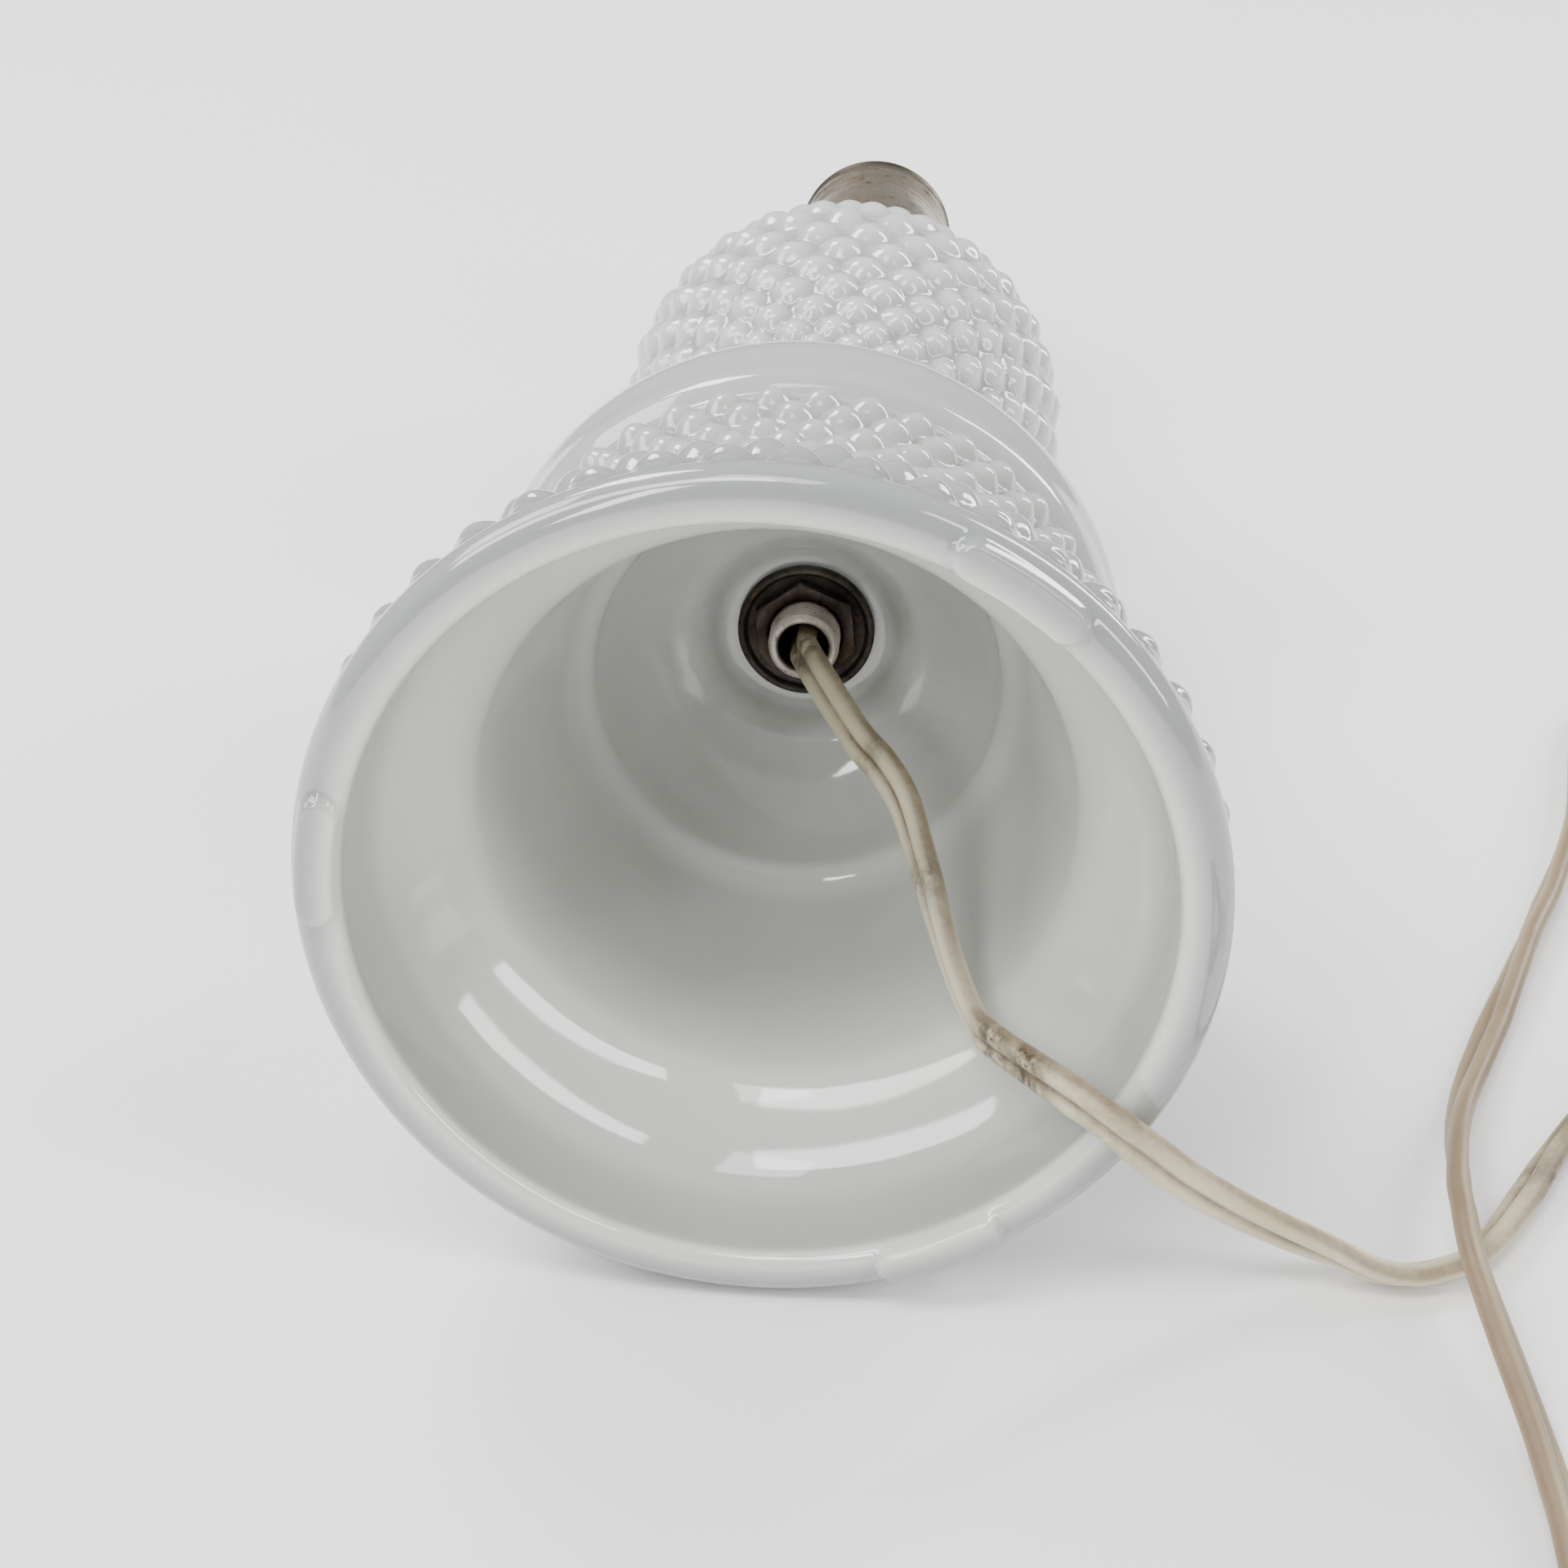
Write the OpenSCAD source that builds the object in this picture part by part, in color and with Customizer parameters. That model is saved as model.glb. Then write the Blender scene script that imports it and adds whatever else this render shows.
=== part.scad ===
// Hobnail glass table lamp with a bell-shaped foot, lying on its side.
// The lamp's own axis is drawn along +Z with the foot's rim plane at zero,
// and lying() lays it down with the open foot facing -Y.

/* [Pose] */
// How far the lamp's axis dips towards the socket when it lies down
dip = 5; // [4.8:0.1:5.2]
// Height of the rim's centre above the surface
rim_z = 52.15; // [52.1:0.05:52.6]
// Place of the rim's centre along Y
rim_y = -146; // [-150:0.5:-142]

/* [Foot] */
// Greatest radius of the rounded lip
lip_r = 51.2; // [48:0.1:51.4]
// Rounding of the lip's outer edge
lip_round = 3; // [2:0.1:4]
// Inner radius of the lip
lip_in_r = 45.3; // [44:0.1:46]
// Inner radius of the wall above the mouth
throat_r = 35.3; // [34:0.1:36]
// Height where the mouth starts to draw in
flare_z0 = 10.5; // [7:0.5:12]
// Height where the mouth has drawn in to the wall
flare_z1 = 27; // [24:0.5:30]
// Inner radius of the step under the dome
step_r = 26.7; // [24:0.1:28]
// Height of the step
step_z = 60; // [58:0.5:62]
// Radius of the recess around the washer
recess_r = 13.2; // [12:0.1:15]
// Height of the dome at the recess
recess_z = 75; // [73:0.5:77]
// Height of the seat for the washer
seat_z = 79.6; // [78.5:0.1:81]
// Radius over the tips of the upper hobnail rows
foot_row_r = 42; // [41:0.1:42.5]
// Radius over the tips of the lowest hobnail row
skirt_r = 51.6; // [51.4:0.1:52]
// Height where the hobnail rows end
foot_row_top = 60; // [59:0.5:61]
// Radius of the groove above the rows
groove_r = 39.4; // [38:0.1:40]
// Greatest radius of the smooth shoulder ring
shoulder_r = 42.8; // [42:0.1:44]
// Height of the shoulder ring
shoulder_z = 71; // [69:0.5:73]
// Height of the foot
foot_h = 88; // [86:0.5:90]
// Radius of the flat seat on top of the foot
foot_top_r = 17; // [15:0.5:20]
// Height of each rest pad on the lip
pad_h = 1.2; // [0.8:0.1:1.6]
// Width of each rest pad across the lip
pad_w = 4.6; // [3:0.1:5]
// Middle radius of the rest pads
pad_r = 48; // [47:0.1:48.6]
// Angle that each rest pad spans
pad_span = 19; // [12:1:24]

/* [Ball] */
// Height of the ball's lower end
ball_z0 = 94; // [92:0.5:96]
// Radius of the ball's lower end
ball_foot_r = 15.5; // [14:0.5:16]
// Height of the ball's widest place
ball_mid_z = 168; // [164:0.5:172]
// Radius over the hobnails at the widest place
ball_r = 37.4; // [36:0.1:37.8]
// Height of the ball's lower half over the hobnails
ball_low_h = 47.9; // [45:0.1:52]
// Radius of the glass stem under the ball
stem_r = 11.8; // [11:0.1:13]
// Radius of the neck
neck_r = 12.5; // [11:0.5:14]
// Height of the neck's top edge
neck_z = 219; // [217:0.5:221]
// Depth of the glass under the hobnail tips
ball_wall = 6.4; // [5:0.1:8]

/* [Pipe and clamping parts] */
// Outer radius of the threaded pipe
pipe_r = 4.85; // [4.7:0.05:5]
// Radius of the pipe's bore
pipe_bore_r = 3.4; // [3.2:0.05:3.6]
// Lower end of the pipe
pipe_z0 = 72.8; // [71:0.1:74]
// Upper end of the pipe
pipe_z1 = 236; // [234:0.5:238]
// Clearance hole in the glass
glass_hole_r = 5.4; // [5.2:0.1:6]
// Radius of the dished washer
washer_r = 9.4; // [9:0.1:10]
// Thickness of the washer's plate
washer_t = 0.7; // [0.5:0.1:1]
// Height of the washer's turned rim
washer_rim_h = 1.5; // [1:0.1:2]
// Width across the flats of the lower nut
nut_af = 13.2; // [12.7:0.1:14.3]
// Thickness of the lower nut
nut_h = 1.8; // [1.6:0.1:3.2]
// Width across the flats of the upper nut
lock_nut_af = 14.3; // [12.7:0.1:15]
// Thickness of the upper nut
lock_nut_h = 3.6; // [3:0.1:4]

/* [Socket] */
// Lower end of the socket cap's hub
hub_z = 226; // [225:0.5:228]
// Radius of the hub
hub_r = 7.2; // [7:0.1:8]
// Outer radius of the socket shell
shell_r = 16.1; // [16:0.1:16.5]
// Wall of the socket shell
shell_t = 0.6; // [0.5:0.1:0.8]
// Lower end of the shell
shell_z0 = 250; // [249:0.5:251]
// Height of the socket's mouth
mouth_z = 297; // [295:0.5:299]
// Height of the groove pressed in the shell
bead_z = 281.5; // [280:0.5:283]
// Height of the cap's skirt edge
cap_z1 = 256; // [255:0.5:257]
// Inner radius of the lamp thread
bulb_r = 13.3; // [13:0.05:13.4]
// Length of the screw shell
screw_h = 19; // [18:0.5:20]
// Bottom of the insulating body
core_z0 = 254; // [253:0.5:255]
// Top of the insulating body
core_z1 = 272; // [271:0.5:273]
// Radius of the insulating body
core_r = 13.9; // [13.5:0.1:14]
// Height of the switch shaft
knob_z = 262; // [261:0.5:263]
// Direction of the switch shaft around the lamp
knob_turn = 145; // [130:1:160]
// Radius of the switch shaft
shaft_r = 1.8; // [1.6:0.1:2]
// Length of the switch knob
knob_l = 10; // [8:0.5:11]
// Radius of the switch knob
knob_r = 4.4; // [4:0.1:5]

/* [Cord] */
// Width of the flat twin cord
cord_w = 5.2; // [5:0.1:5.5]
// Mean radius of the coil
coil_r = 29; // [28:0.5:31]
// Width and height of the coil's bundle
coil_t = 12; // [11:0.5:13]
// Height of the coil's underside
coil_z = 0.7; // [0.7:0.1:1]
// Place of the coil's centre along X
coil_x = 117; // [110:1:125]
// Place of the coil's centre along Y
coil_y = -240; // [-250:1:-235]
// Length of the plug's body
plug_l = 26; // [22:1:30]
// Width of the plug's body
plug_w = 20; // [18:1:24]
// Height of the plug's body
plug_h = 11; // [10:0.5:12]
// Distance between the plug's blades
blade_gap = 12.7; // [12.7:0.1:12.7]

/* [Hidden] */
pad_turns = [-56.5, 63, -173.5];
steps = 8;
fine = 96;
small = 48;
milk = [0.9, 0.93, 0.93];
tarnish = [0.45, 0.37, 0.28];
brass = [0.72, 0.6, 0.35];
cream = [0.85, 0.79, 0.66];
mouth_steps = 16;
lip_edge_z = 1.2;
lip_edge_r = 1.6;
skirt_top_z = 32;
skirt_top_r = 43;
step_edge = 2.3;
eps = 0.01;
washer_z = seat_z - washer_t;
washer_rim_t = 1.1;
nut_z = washer_z - nut_h;
waist_h = ball_z0 - foot_h;
cap_t = 1.2;
cap_skirt = 5;
cap_r = neck_r + 2.2;
lock_nut_z = neck_z + cap_t;
cap_wall = 0.7;
cap_slope_z = 244;
sleeve_t = 0.6;
sleeve_gap = 0.15;
sleeve_r = shell_r - shell_t - sleeve_gap;
sleeve_z0 = 256.5;
sleeve_z1 = 293;
shell_lip = 0.5;
flat_x = 11.2;
shaft_in = 7;
shaft_out = 27;
knob_in = 18.6;
core_bore_r = shaft_r + 0.08;
wall_hole_r = shaft_r + 0.5;
wire_r = 1.3;
cord_r = cord_w / 2;
tie_t = 0.7;
tie_span = 14;
// Route of the cord from the pipe's mouth, over the lip and along the surface to the coil
cord_points = [
    [0, -73.5, 45.8], [2.4, -80.5, 46], [8.5, -94, 44.6], [12, -99.5, 43.8], [15, -105, 42],
    [17.6, -111.5, 37.6], [21.6, -121.5, 30.2], [24.8, -129.6, 27.6], [27.1, -134.2, 28.2],
    [34.2, -145, 30.9], [38.1, -149.5, 31.3], [42.4, -151, 28.7], [47.6, -149.2, 22.8],
    [54, -145.5, 15.6], [60.5, -143, 10], [67.5, -141.5, 5.5], [74.5, -142, 3],
    [81, -140.5, 2.6], [87, -136.5, 2.6], [94, -126, 2.6], [101, -115, 2.6], [126, -80, 2.6],
    [139, -58, 2.6], [148, -35, 2.6], [150, -18, 2.6], [145, -4, 2.6], [135, 0, 2.6],
    [127, -7, 2.6], [122, -22, 2.6], [115, -47, 2.6], [100, -82.5, 2.6], [88.5, -110.5, 3.4],
    [84.2, -129.5, 7.4], [83.5, -137, 8.3], [83.3, -144, 8.3], [84.2, -150.5, 7.2],
    [87.8, -170.5, 2.9], [88.3, -178, 2.6], [88, -221, 2.6]];
cord_sides = 10;

// Places a child drawn along the lamp's axis into the lying pose
module lying() {
    translate([0, rim_y, rim_z])
        rotate([-(90 + dip), 0, 0])
            children();
}

// Points of an arc round c, from angle a0 to a1
function arc(c, r, a0, a1, n = steps) =
    [for (i = [0 : n]) c + r * [cos(a0 + (a1 - a0) * i / n), sin(a0 + (a1 - a0) * i / n)]];

// Points of an ellipse's arc round c with half-axes a and b
function bow(c, a, b, a0, a1, n = steps) =
    [for (i = [0 : n]) c + [a * cos(a0 + (a1 - a0) * i / n), b * sin(a0 + (a1 - a0) * i / n)]];

// Inner radius of the S-shaped mouth at height z
function flare(z) =
    let (t = min(max((z - flare_z0) / (flare_z1 - flare_z0), 0), 1))
    throat_r + (lip_in_r - throat_r) * (1 + cos(180 * t)) / 2;

// A ring between two radii and two heights
module ring(r_in, r_out, z0, z1) {
    translate([0, 0, z0])
        difference() {
            cylinder(r = r_out, h = z1 - z0, $fn = fine);
            translate([0, 0, -eps])
                cylinder(r = r_in, h = z1 - z0 + 2 * eps, $fn = fine);
        }
}

// A hexagonal nut with a round bore
module hex_nut(af, h, bore) {
    difference() {
        cylinder(r = af / sqrt(3), h = h, $fn = 6);
        translate([0, 0, -eps])
            cylinder(r = bore, h = h + 2 * eps, $fn = small);
    }
}

// Places a child drawn along +Z onto the switch shaft's axis
module on_switch_axis(r) {
    lying()
        rotate([0, 0, knob_turn])
            translate([r, 0, knob_z])
                rotate([0, 90, 0])
                    children();
}

module bell_base() {
    lip_c = [lip_r - lip_round, lip_round];
    top_bow_h = foot_h - shoulder_z;
    color(milk)
        lying()
            union() {
                rotate_extrude($fn = fine)
                    polygon(concat(
                        arc(lip_c, lip_round, -90, 20, 6),
                        [[skirt_r - 0.4, 5], [skirt_r, 6.5], [skirt_r, 8.5]],
                        [[50.4, 13.5], [47, 19.5], [44.4, 26], [skirt_top_r, skirt_top_z]],
                        [[foot_row_r, 38.5], [foot_row_r, foot_row_top - 0.8]],
                        [[groove_r, foot_row_top], [groove_r, foot_row_top + 1]],
                        [[41, 62.4], [42.5, 66]],
                        bow([foot_top_r, shoulder_z], shoulder_r - foot_top_r, top_bow_h, 0, 90),
                        [[glass_hole_r, foot_h], [glass_hole_r, seat_z]],
                        [[recess_r - 1, seat_z], [recess_r, recess_z]],
                        bow([recess_r, step_z], step_r - recess_r, recess_z - step_z, 90, 0),
                        [[step_r + step_edge, step_z - 1.2], [step_r + step_edge + 1.5, step_z - 4]],
                        [for (i = [0 : mouth_steps])
                            let (z = flare_z1 + (lip_edge_z - flare_z1) * i / mouth_steps)
                            [flare(z), z]],
                        arc([lip_in_r + lip_edge_r, lip_edge_r], lip_edge_r, 200, 265, 3)));
                for (turn = pad_turns)
                    rest_pad(turn);
            }
}

// One of the three raised rest pads on the lip's face
module rest_pad(turn) {
    rotate([0, 0, turn - pad_span / 2])
        rotate_extrude(angle = pad_span, $fn = fine)
            translate([pad_r - pad_w / 2, -pad_h])
                square([pad_w, pad_h + 0.5]);
}

module bottom_washer() {
    color([0.2, 0.17, 0.15])
        lying()
            rotate_extrude($fn = fine)
                polygon([[pipe_r, washer_z], [washer_r - washer_rim_t, washer_z],
                         [washer_r - washer_rim_t + 0.3, seat_z - washer_rim_h],
                         [washer_r, seat_z - washer_rim_h], [washer_r, seat_z],
                         [pipe_r, seat_z]]);
}

module bottom_nut() {
    color([0.16, 0.14, 0.13])
        lying()
            translate([0, 0, nut_z])
                rotate([0, 0, 24])
                    hex_nut(nut_af, nut_h, pipe_r);
}

module lamp_pipe() {
    color([0.72, 0.66, 0.63])
        lying()
            ring(pipe_bore_r, pipe_r, pipe_z0, pipe_z1);
}

module waist_ring() {
    color(brass)
        lying()
            rotate_extrude($fn = fine)
                polygon(concat(
                    [[pipe_r, ball_z0], [pipe_r, foot_h], [foot_top_r - 1, foot_h]],
                    bow([foot_top_r - 1, foot_h + waist_h / 2], 3, waist_h / 2 - 0.6, 270, 90),
                    [[ball_foot_r, ball_z0]]));
}

module ball_body() {
    low_r = ball_r - ball_wall;
    color(milk)
        lying()
            rotate_extrude($fn = fine)
                polygon(concat(
                    [[glass_hole_r, ball_z0], [ball_foot_r - 0.6, ball_z0]],
                    [[ball_foot_r, ball_z0 + 0.8], [ball_foot_r, ball_z0 + 3]],
                    bow([ball_foot_r, ball_z0 + 12], ball_foot_r - stem_r, 9, 270, 180),
                    bow([ball_foot_r + 3.2, ball_z0 + 16], ball_foot_r + 3.2 - stem_r, 15, 180, 125),
                    bow([0, ball_mid_z], ball_r, ball_low_h, -60, 0, 12),
                    bow([0, ball_mid_z], ball_r, ball_r, 5, 70, 10),
                    [[neck_r, 206], [neck_r, neck_z], [neck_r - 3, neck_z], [neck_r - 3, 204]],
                    bow([0, ball_mid_z], low_r, low_r, 70, 5, 10),
                    bow([0, ball_mid_z], low_r, ball_low_h - ball_wall, 0, -72, 12),
                    [[glass_hole_r, ball_z0 + 33.5]]));
}

module vase_cap() {
    color(tarnish)
        lying()
            rotate_extrude($fn = fine)
                polygon([[pipe_r, neck_z], [neck_r + 0.3, neck_z],
                         [neck_r + 0.3, neck_z - cap_skirt + 1],
                         [cap_r + 0.4, neck_z - cap_skirt], [cap_r + 0.4, neck_z - cap_skirt + 0.9],
                         [cap_r - 1, neck_z - cap_skirt + 1.8], [cap_r - 1.2, neck_z + cap_t - 0.6],
                         [cap_r - 2, neck_z + cap_t], [pipe_r, neck_z + cap_t]]);
}

module lock_nut() {
    color(tarnish)
        lying()
            translate([0, 0, lock_nut_z])
                rotate([0, 0, 12])
                    hex_nut(lock_nut_af, lock_nut_h, pipe_r);
}

module socket_cap() {
    skirt_out = shell_r + cap_wall;
    slope_h = cap_slope_z - hub_z - 6;
    color(tarnish)
        lying()
            difference() {
                rotate_extrude($fn = fine)
                    polygon(concat(
                        [[pipe_r, hub_z], [hub_r, hub_z], [hub_r, hub_z + 6]],
                        bow([hub_r, cap_slope_z], skirt_out - hub_r, slope_h, -80, 0),
                        [[skirt_out, cap_z1], [shell_r, cap_z1]],
                        bow([hub_r, cap_slope_z], shell_r - hub_r, slope_h - cap_wall, 0, -80),
                        [[pipe_r, hub_z + 7]]));
                set_screw_axis(hub_r - 3.2)
                    cylinder(r = 1.5, h = 5, $fn = small);
            }
}

// Places a child drawn along +Z onto the set screw's axis, in the lamp's own frame
module set_screw_axis(r) {
    translate([r, 0, hub_z + 3])
        rotate([0, 90, 0])
            children();
}

module set_screw() {
    color(brass)
        lying()
            difference() {
                set_screw_axis(pipe_r)
                    union() {
                        cylinder(r = 1.5, h = 3.4, $fn = small);
                        translate([0, 0, 2.4])
                            cylinder(r = 2.4, h = 1.6, $fn = small);
                    }
                set_screw_axis(pipe_r + 3.3)
                    translate([-3, -0.4, 0])
                        cube([6, 0.8, 1]);
            }
}

module socket_shell() {
    inner = shell_r - shell_t;
    color(tarnish)
        lying()
            difference() {
                rotate_extrude($fn = fine)
                    polygon([[inner, shell_z0], [shell_r, shell_z0],
                             [shell_r, bead_z - 1.4], [shell_r - 0.45, bead_z],
                             [shell_r, bead_z + 1.4], [shell_r, mouth_z - 1.6],
                             [shell_r + shell_lip, mouth_z - 1], [shell_r + shell_lip, mouth_z],
                             [inner, mouth_z]]);
                rotate([0, 0, knob_turn])
                    translate([inner - 2, 0, knob_z])
                        rotate([0, 90, 0])
                            cylinder(r = wall_hole_r, h = 5, $fn = small);
            }
}

module insulating_sleeve() {
    color([0.62, 0.5, 0.36])
        lying()
            difference() {
                ring(sleeve_r - sleeve_t, sleeve_r, sleeve_z0, sleeve_z1);
                rotate([0, 0, knob_turn])
                    translate([sleeve_r - 3, 0, knob_z])
                        rotate([0, 90, 0])
                            cylinder(r = wall_hole_r, h = 5, $fn = small);
            }
}

module socket_core() {
    core_h = core_z1 - core_z0;
    color([0.1, 0.09, 0.09])
        lying()
            difference() {
                translate([0, 0, core_z0])
                    cylinder(r = core_r, h = core_h, $fn = fine);
                for (side = [-1, 1])
                    translate([side * (flat_x + 5) - 5, -core_r, core_z0 - eps])
                        cube([10, 2 * core_r, 11.5]);
                for (side = [-1, 1])
                    terminal_axis(side, flat_x - 4.5)
                        cylinder(r = 1.2, h = 6, $fn = small);
                rotate([0, 0, knob_turn])
                    translate([shaft_in, 0, knob_z])
                        rotate([0, 90, 0])
                            cylinder(r = core_bore_r, h = core_r, $fn = small);
                translate([0, 0, core_z1 - 1.5])
                    cylinder(r = 10.5, h = 3, $fn = fine);
            }
}

// Places a child drawn along +Z onto a terminal screw's axis, in the lamp's own frame
module terminal_axis(side, r) {
    translate([side * r, 0, core_z0 + 6])
        rotate([0, side * 90, 0])
            children();
}

module screw_shell() {
    color([0.8, 0.78, 0.74])
        lying()
            union() {
                ring(bulb_r, bulb_r + 0.5, core_z1, core_z1 + screw_h);
                ring(bulb_r - 2.6, bulb_r + 0.5, core_z1, core_z1 + 0.5);
            }
}

module centre_contact() {
    color(brass)
        lying()
            translate([0, 0, core_z1 - 1.5])
                union() {
                    cylinder(r = 3, h = 0.5, $fn = small);
                    translate([-2.5, -9, 0])
                        cube([5, 9, 0.5]);
                    translate([0, 0, 0.5])
                        cylinder(r1 = 2.6, r2 = 1.6, h = 1.6, $fn = small);
                }
}

module terminal_screws() {
    color(brass)
        lying()
            for (side = [-1, 1])
                union() {
                    terminal_axis(side, flat_x - 4.2)
                        cylinder(r = 1.2, h = 4.6, $fn = small);
                    terminal_axis(side, flat_x)
                        cylinder(r = 3.4, h = 1.4, $fn = small);
                }
}

// One insulated lead from the cord's end to a terminal screw
module lead(side) {
    hull() {
        translate([side * wire_r, 0, pipe_z1 + 5.2])
            sphere(r = wire_r - 0.2, $fn = 16);
        translate([side * (flat_x + 1.3), 0, core_z0 - 2])
            sphere(r = wire_r - 0.2, $fn = 16);
    }
    hull() {
        translate([side * (flat_x + 1.3), 0, core_z0 - 2])
            sphere(r = wire_r - 0.2, $fn = 16);
        translate([side * (flat_x + 1.3), 0, core_z0 + 1.2])
            sphere(r = wire_r - 0.2, $fn = 16);
    }
}

module conductor_leads() {
    color(cream)
        lying()
            for (side = [-1, 1])
                lead(side);
}

module switch_shaft() {
    color(brass)
        on_switch_axis(shaft_in + 0.3)
            cylinder(r = shaft_r, h = shaft_out - shaft_in - 0.3, $fn = small);
}

module switch_knob() {
    color([0.12, 0.1, 0.09])
        on_switch_axis(knob_in)
            difference() {
                union() {
                    cylinder(r = knob_r, h = knob_l, $fn = small);
                    for (i = [0 : 15])
                        rotate([0, 0, i * 22.5])
                            translate([knob_r - 0.1, 0, 1])
                                cylinder(r = 0.5, h = knob_l - 2, $fn = 16);
                }
                translate([0, 0, -eps])
                    cylinder(r = shaft_r, h = shaft_out - knob_in + eps, $fn = small);
            }
}

module cord_in_pipe() {
    color(cream)
        lying()
            union() {
                for (side = [-1, 1])
                    translate([side * cord_w / 4, 0, pipe_z0])
                        cylinder(r = cord_w / 4, h = pipe_z1 + 6 - pipe_z0 - 2, $fn = small);
                translate([-cord_w / 4, -0.4, pipe_z0])
                    cube([cord_w / 2, 0.8, pipe_z1 + 4 - pipe_z0]);
            }
}

// Unit vector along v
function unit(v) = v / norm(v);

// Point at t between b and c on the smooth curve through a, b, c and d
function between(a, b, c, d, t) =
    b + t / 2 * ((c - a) + t * ((2 * a - 5 * b + 4 * c - d) + t * (3 * (b - c) + d - a)));

// A point kept off the surface that the cord lies on
function lifted(p) = [p.x, p.y, max(p.z, cord_r)];

// A route with a point added halfway along each of its stretches
function smooth(p) =
    let (n = len(p))
    concat([for (i = [0 : n - 2]) each [p[i],
        lifted(between(p[max(i - 1, 0)], p[i], p[i + 1], p[min(i + 2, n - 1)], 0.5))]],
        [p[n - 1]]);

// Direction of travel at each point of a route
function headings(p) = [for (i = [0 : len(p) - 1])
    unit(p[min(i + 1, len(p) - 1)] - p[max(i - 1, 0)])];

// Ring of points round p, square to heading t
function hoop(p, t) =
    let (side = unit(cross(t, [0, 0, 1])), rise = cross(side, t))
    [for (k = [0 : cord_sides - 1])
        p + cord_r * (cos(k * 360 / cord_sides) * side + sin(k * 360 / cord_sides) * rise)];

// A round tube of the cord's width along a route
module tube(route) {
    t = headings(route);
    n = len(route);
    points = [for (i = [0 : n - 1]) each hoop(route[i], t[i])];
    ends = [[for (k = [0 : cord_sides - 1]) k],
            [for (k = [cord_sides - 1 : -1 : 0]) (n - 1) * cord_sides + k]];
    walls = [for (i = [0 : n - 2]) for (k = [0 : cord_sides - 1])
        let (a = i * cord_sides + k, b = i * cord_sides + (k + 1) % cord_sides)
        [a, a + cord_sides, b + cord_sides, b]];
    polyhedron(points, concat(ends, walls), convexity = 6);
}

module cord_run() {
    color(cream)
        tube(smooth(cord_points));
}

// Section of the coil's bundle, grown by g
module bundle(g) {
    translate([coil_r - coil_t / 2 - g, coil_z - g])
        square(coil_t + 2 * g);
}

module cord_coil() {
    chamfer = 3;
    color(cream)
        translate([coil_x, coil_y, coil_z])
            rotate_extrude($fn = fine)
                translate([coil_r, coil_t / 2])
                    rotate(45)
                        intersection() {
                            square(coil_t * sqrt(2) - chamfer, center = true);
                            rotate(45)
                                square(coil_t, center = true);
                        }
}

module cord_tail() {
    color(cream)
        tube([[coil_x + coil_r, coil_y + 19, 3], [coil_x + coil_r, coil_y + 25, 4],
              [coil_x + coil_r, coil_y + 32, 5.5]]);
}

module coil_tie() {
    color([0.15, 0.15, 0.15])
        translate([coil_x, coil_y, 0])
            rotate([0, 0, -100])
                rotate_extrude(angle = tie_span, $fn = fine)
                    difference() {
                        bundle(tie_t);
                        bundle(0);
                    }
}

// Places a child drawn along +Y from the plug's cord end
module at_plug() {
    translate([coil_x + coil_r, coil_y + 32, plug_h / 2])
        children();
}

module plug_body() {
    neck = 7;
    color(cream)
        at_plug()
            hull() {
                translate([-4, 0, -4])
                    cube([8, 1, 8]);
                translate([-plug_w / 2, neck, -plug_h / 2])
                    cube([plug_w, plug_l - neck, plug_h]);
            }
}

module plug_blades() {
    blade_w = 6.35;
    blade_t = 1.5;
    blade_l = 16;
    hole_r = 1.6;
    hole_in = 3.2;
    color(brass)
        at_plug()
            for (side = [-1, 1])
                difference() {
                    translate([side * blade_gap / 2 - blade_t / 2, plug_l, -blade_w / 2])
                        cube([blade_t, blade_l, blade_w]);
                    translate([side * blade_gap / 2, plug_l + blade_l - hole_in, 0])
                        rotate([0, 90, 0])
                            cylinder(r = hole_r, h = 2 * blade_t, center = true, $fn = small);
                }
}

bell_base();
bottom_washer();
bottom_nut();
lamp_pipe();
waist_ring();
ball_body();
vase_cap();
lock_nut();
socket_cap();
set_screw();
socket_shell();
insulating_sleeve();
socket_core();
screw_shell();
centre_contact();
terminal_screws();
conductor_leads();
switch_shaft();
switch_knob();
cord_in_pipe();
cord_run();
cord_coil();
cord_tail();
coil_tie();
plug_body();
plug_blades();
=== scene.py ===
"""Looks of the hobnail glass lamp that lies on its side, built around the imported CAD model."""

import math

import bmesh
import bpy
import numpy as np
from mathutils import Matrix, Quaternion, Vector


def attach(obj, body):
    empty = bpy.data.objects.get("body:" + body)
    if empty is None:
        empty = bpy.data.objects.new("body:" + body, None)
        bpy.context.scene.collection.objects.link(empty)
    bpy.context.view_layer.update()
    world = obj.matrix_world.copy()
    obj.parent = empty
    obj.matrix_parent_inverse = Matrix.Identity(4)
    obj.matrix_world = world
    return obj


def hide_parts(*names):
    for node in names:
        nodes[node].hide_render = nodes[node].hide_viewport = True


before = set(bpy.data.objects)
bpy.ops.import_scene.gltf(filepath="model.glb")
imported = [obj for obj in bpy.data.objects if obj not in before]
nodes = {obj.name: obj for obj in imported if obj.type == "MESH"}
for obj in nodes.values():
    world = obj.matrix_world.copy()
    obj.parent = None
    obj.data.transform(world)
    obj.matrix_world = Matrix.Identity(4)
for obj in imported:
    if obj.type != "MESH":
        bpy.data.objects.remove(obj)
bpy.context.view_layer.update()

# ---------------------------------------------------------------- frame of the lamp, in mm
MM = 0.001
DIP = math.radians(5.0)
RIM_Y, RIM_Z = -146.0, 52.15
AXIS = np.array([0.0, math.cos(DIP), -math.sin(DIP)])
UP = np.array([0.0, math.sin(DIP), math.cos(DIP)])
SIDE = np.array([1.0, 0.0, 0.0])
RIM = np.array([0.0, RIM_Y, RIM_Z])
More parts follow.
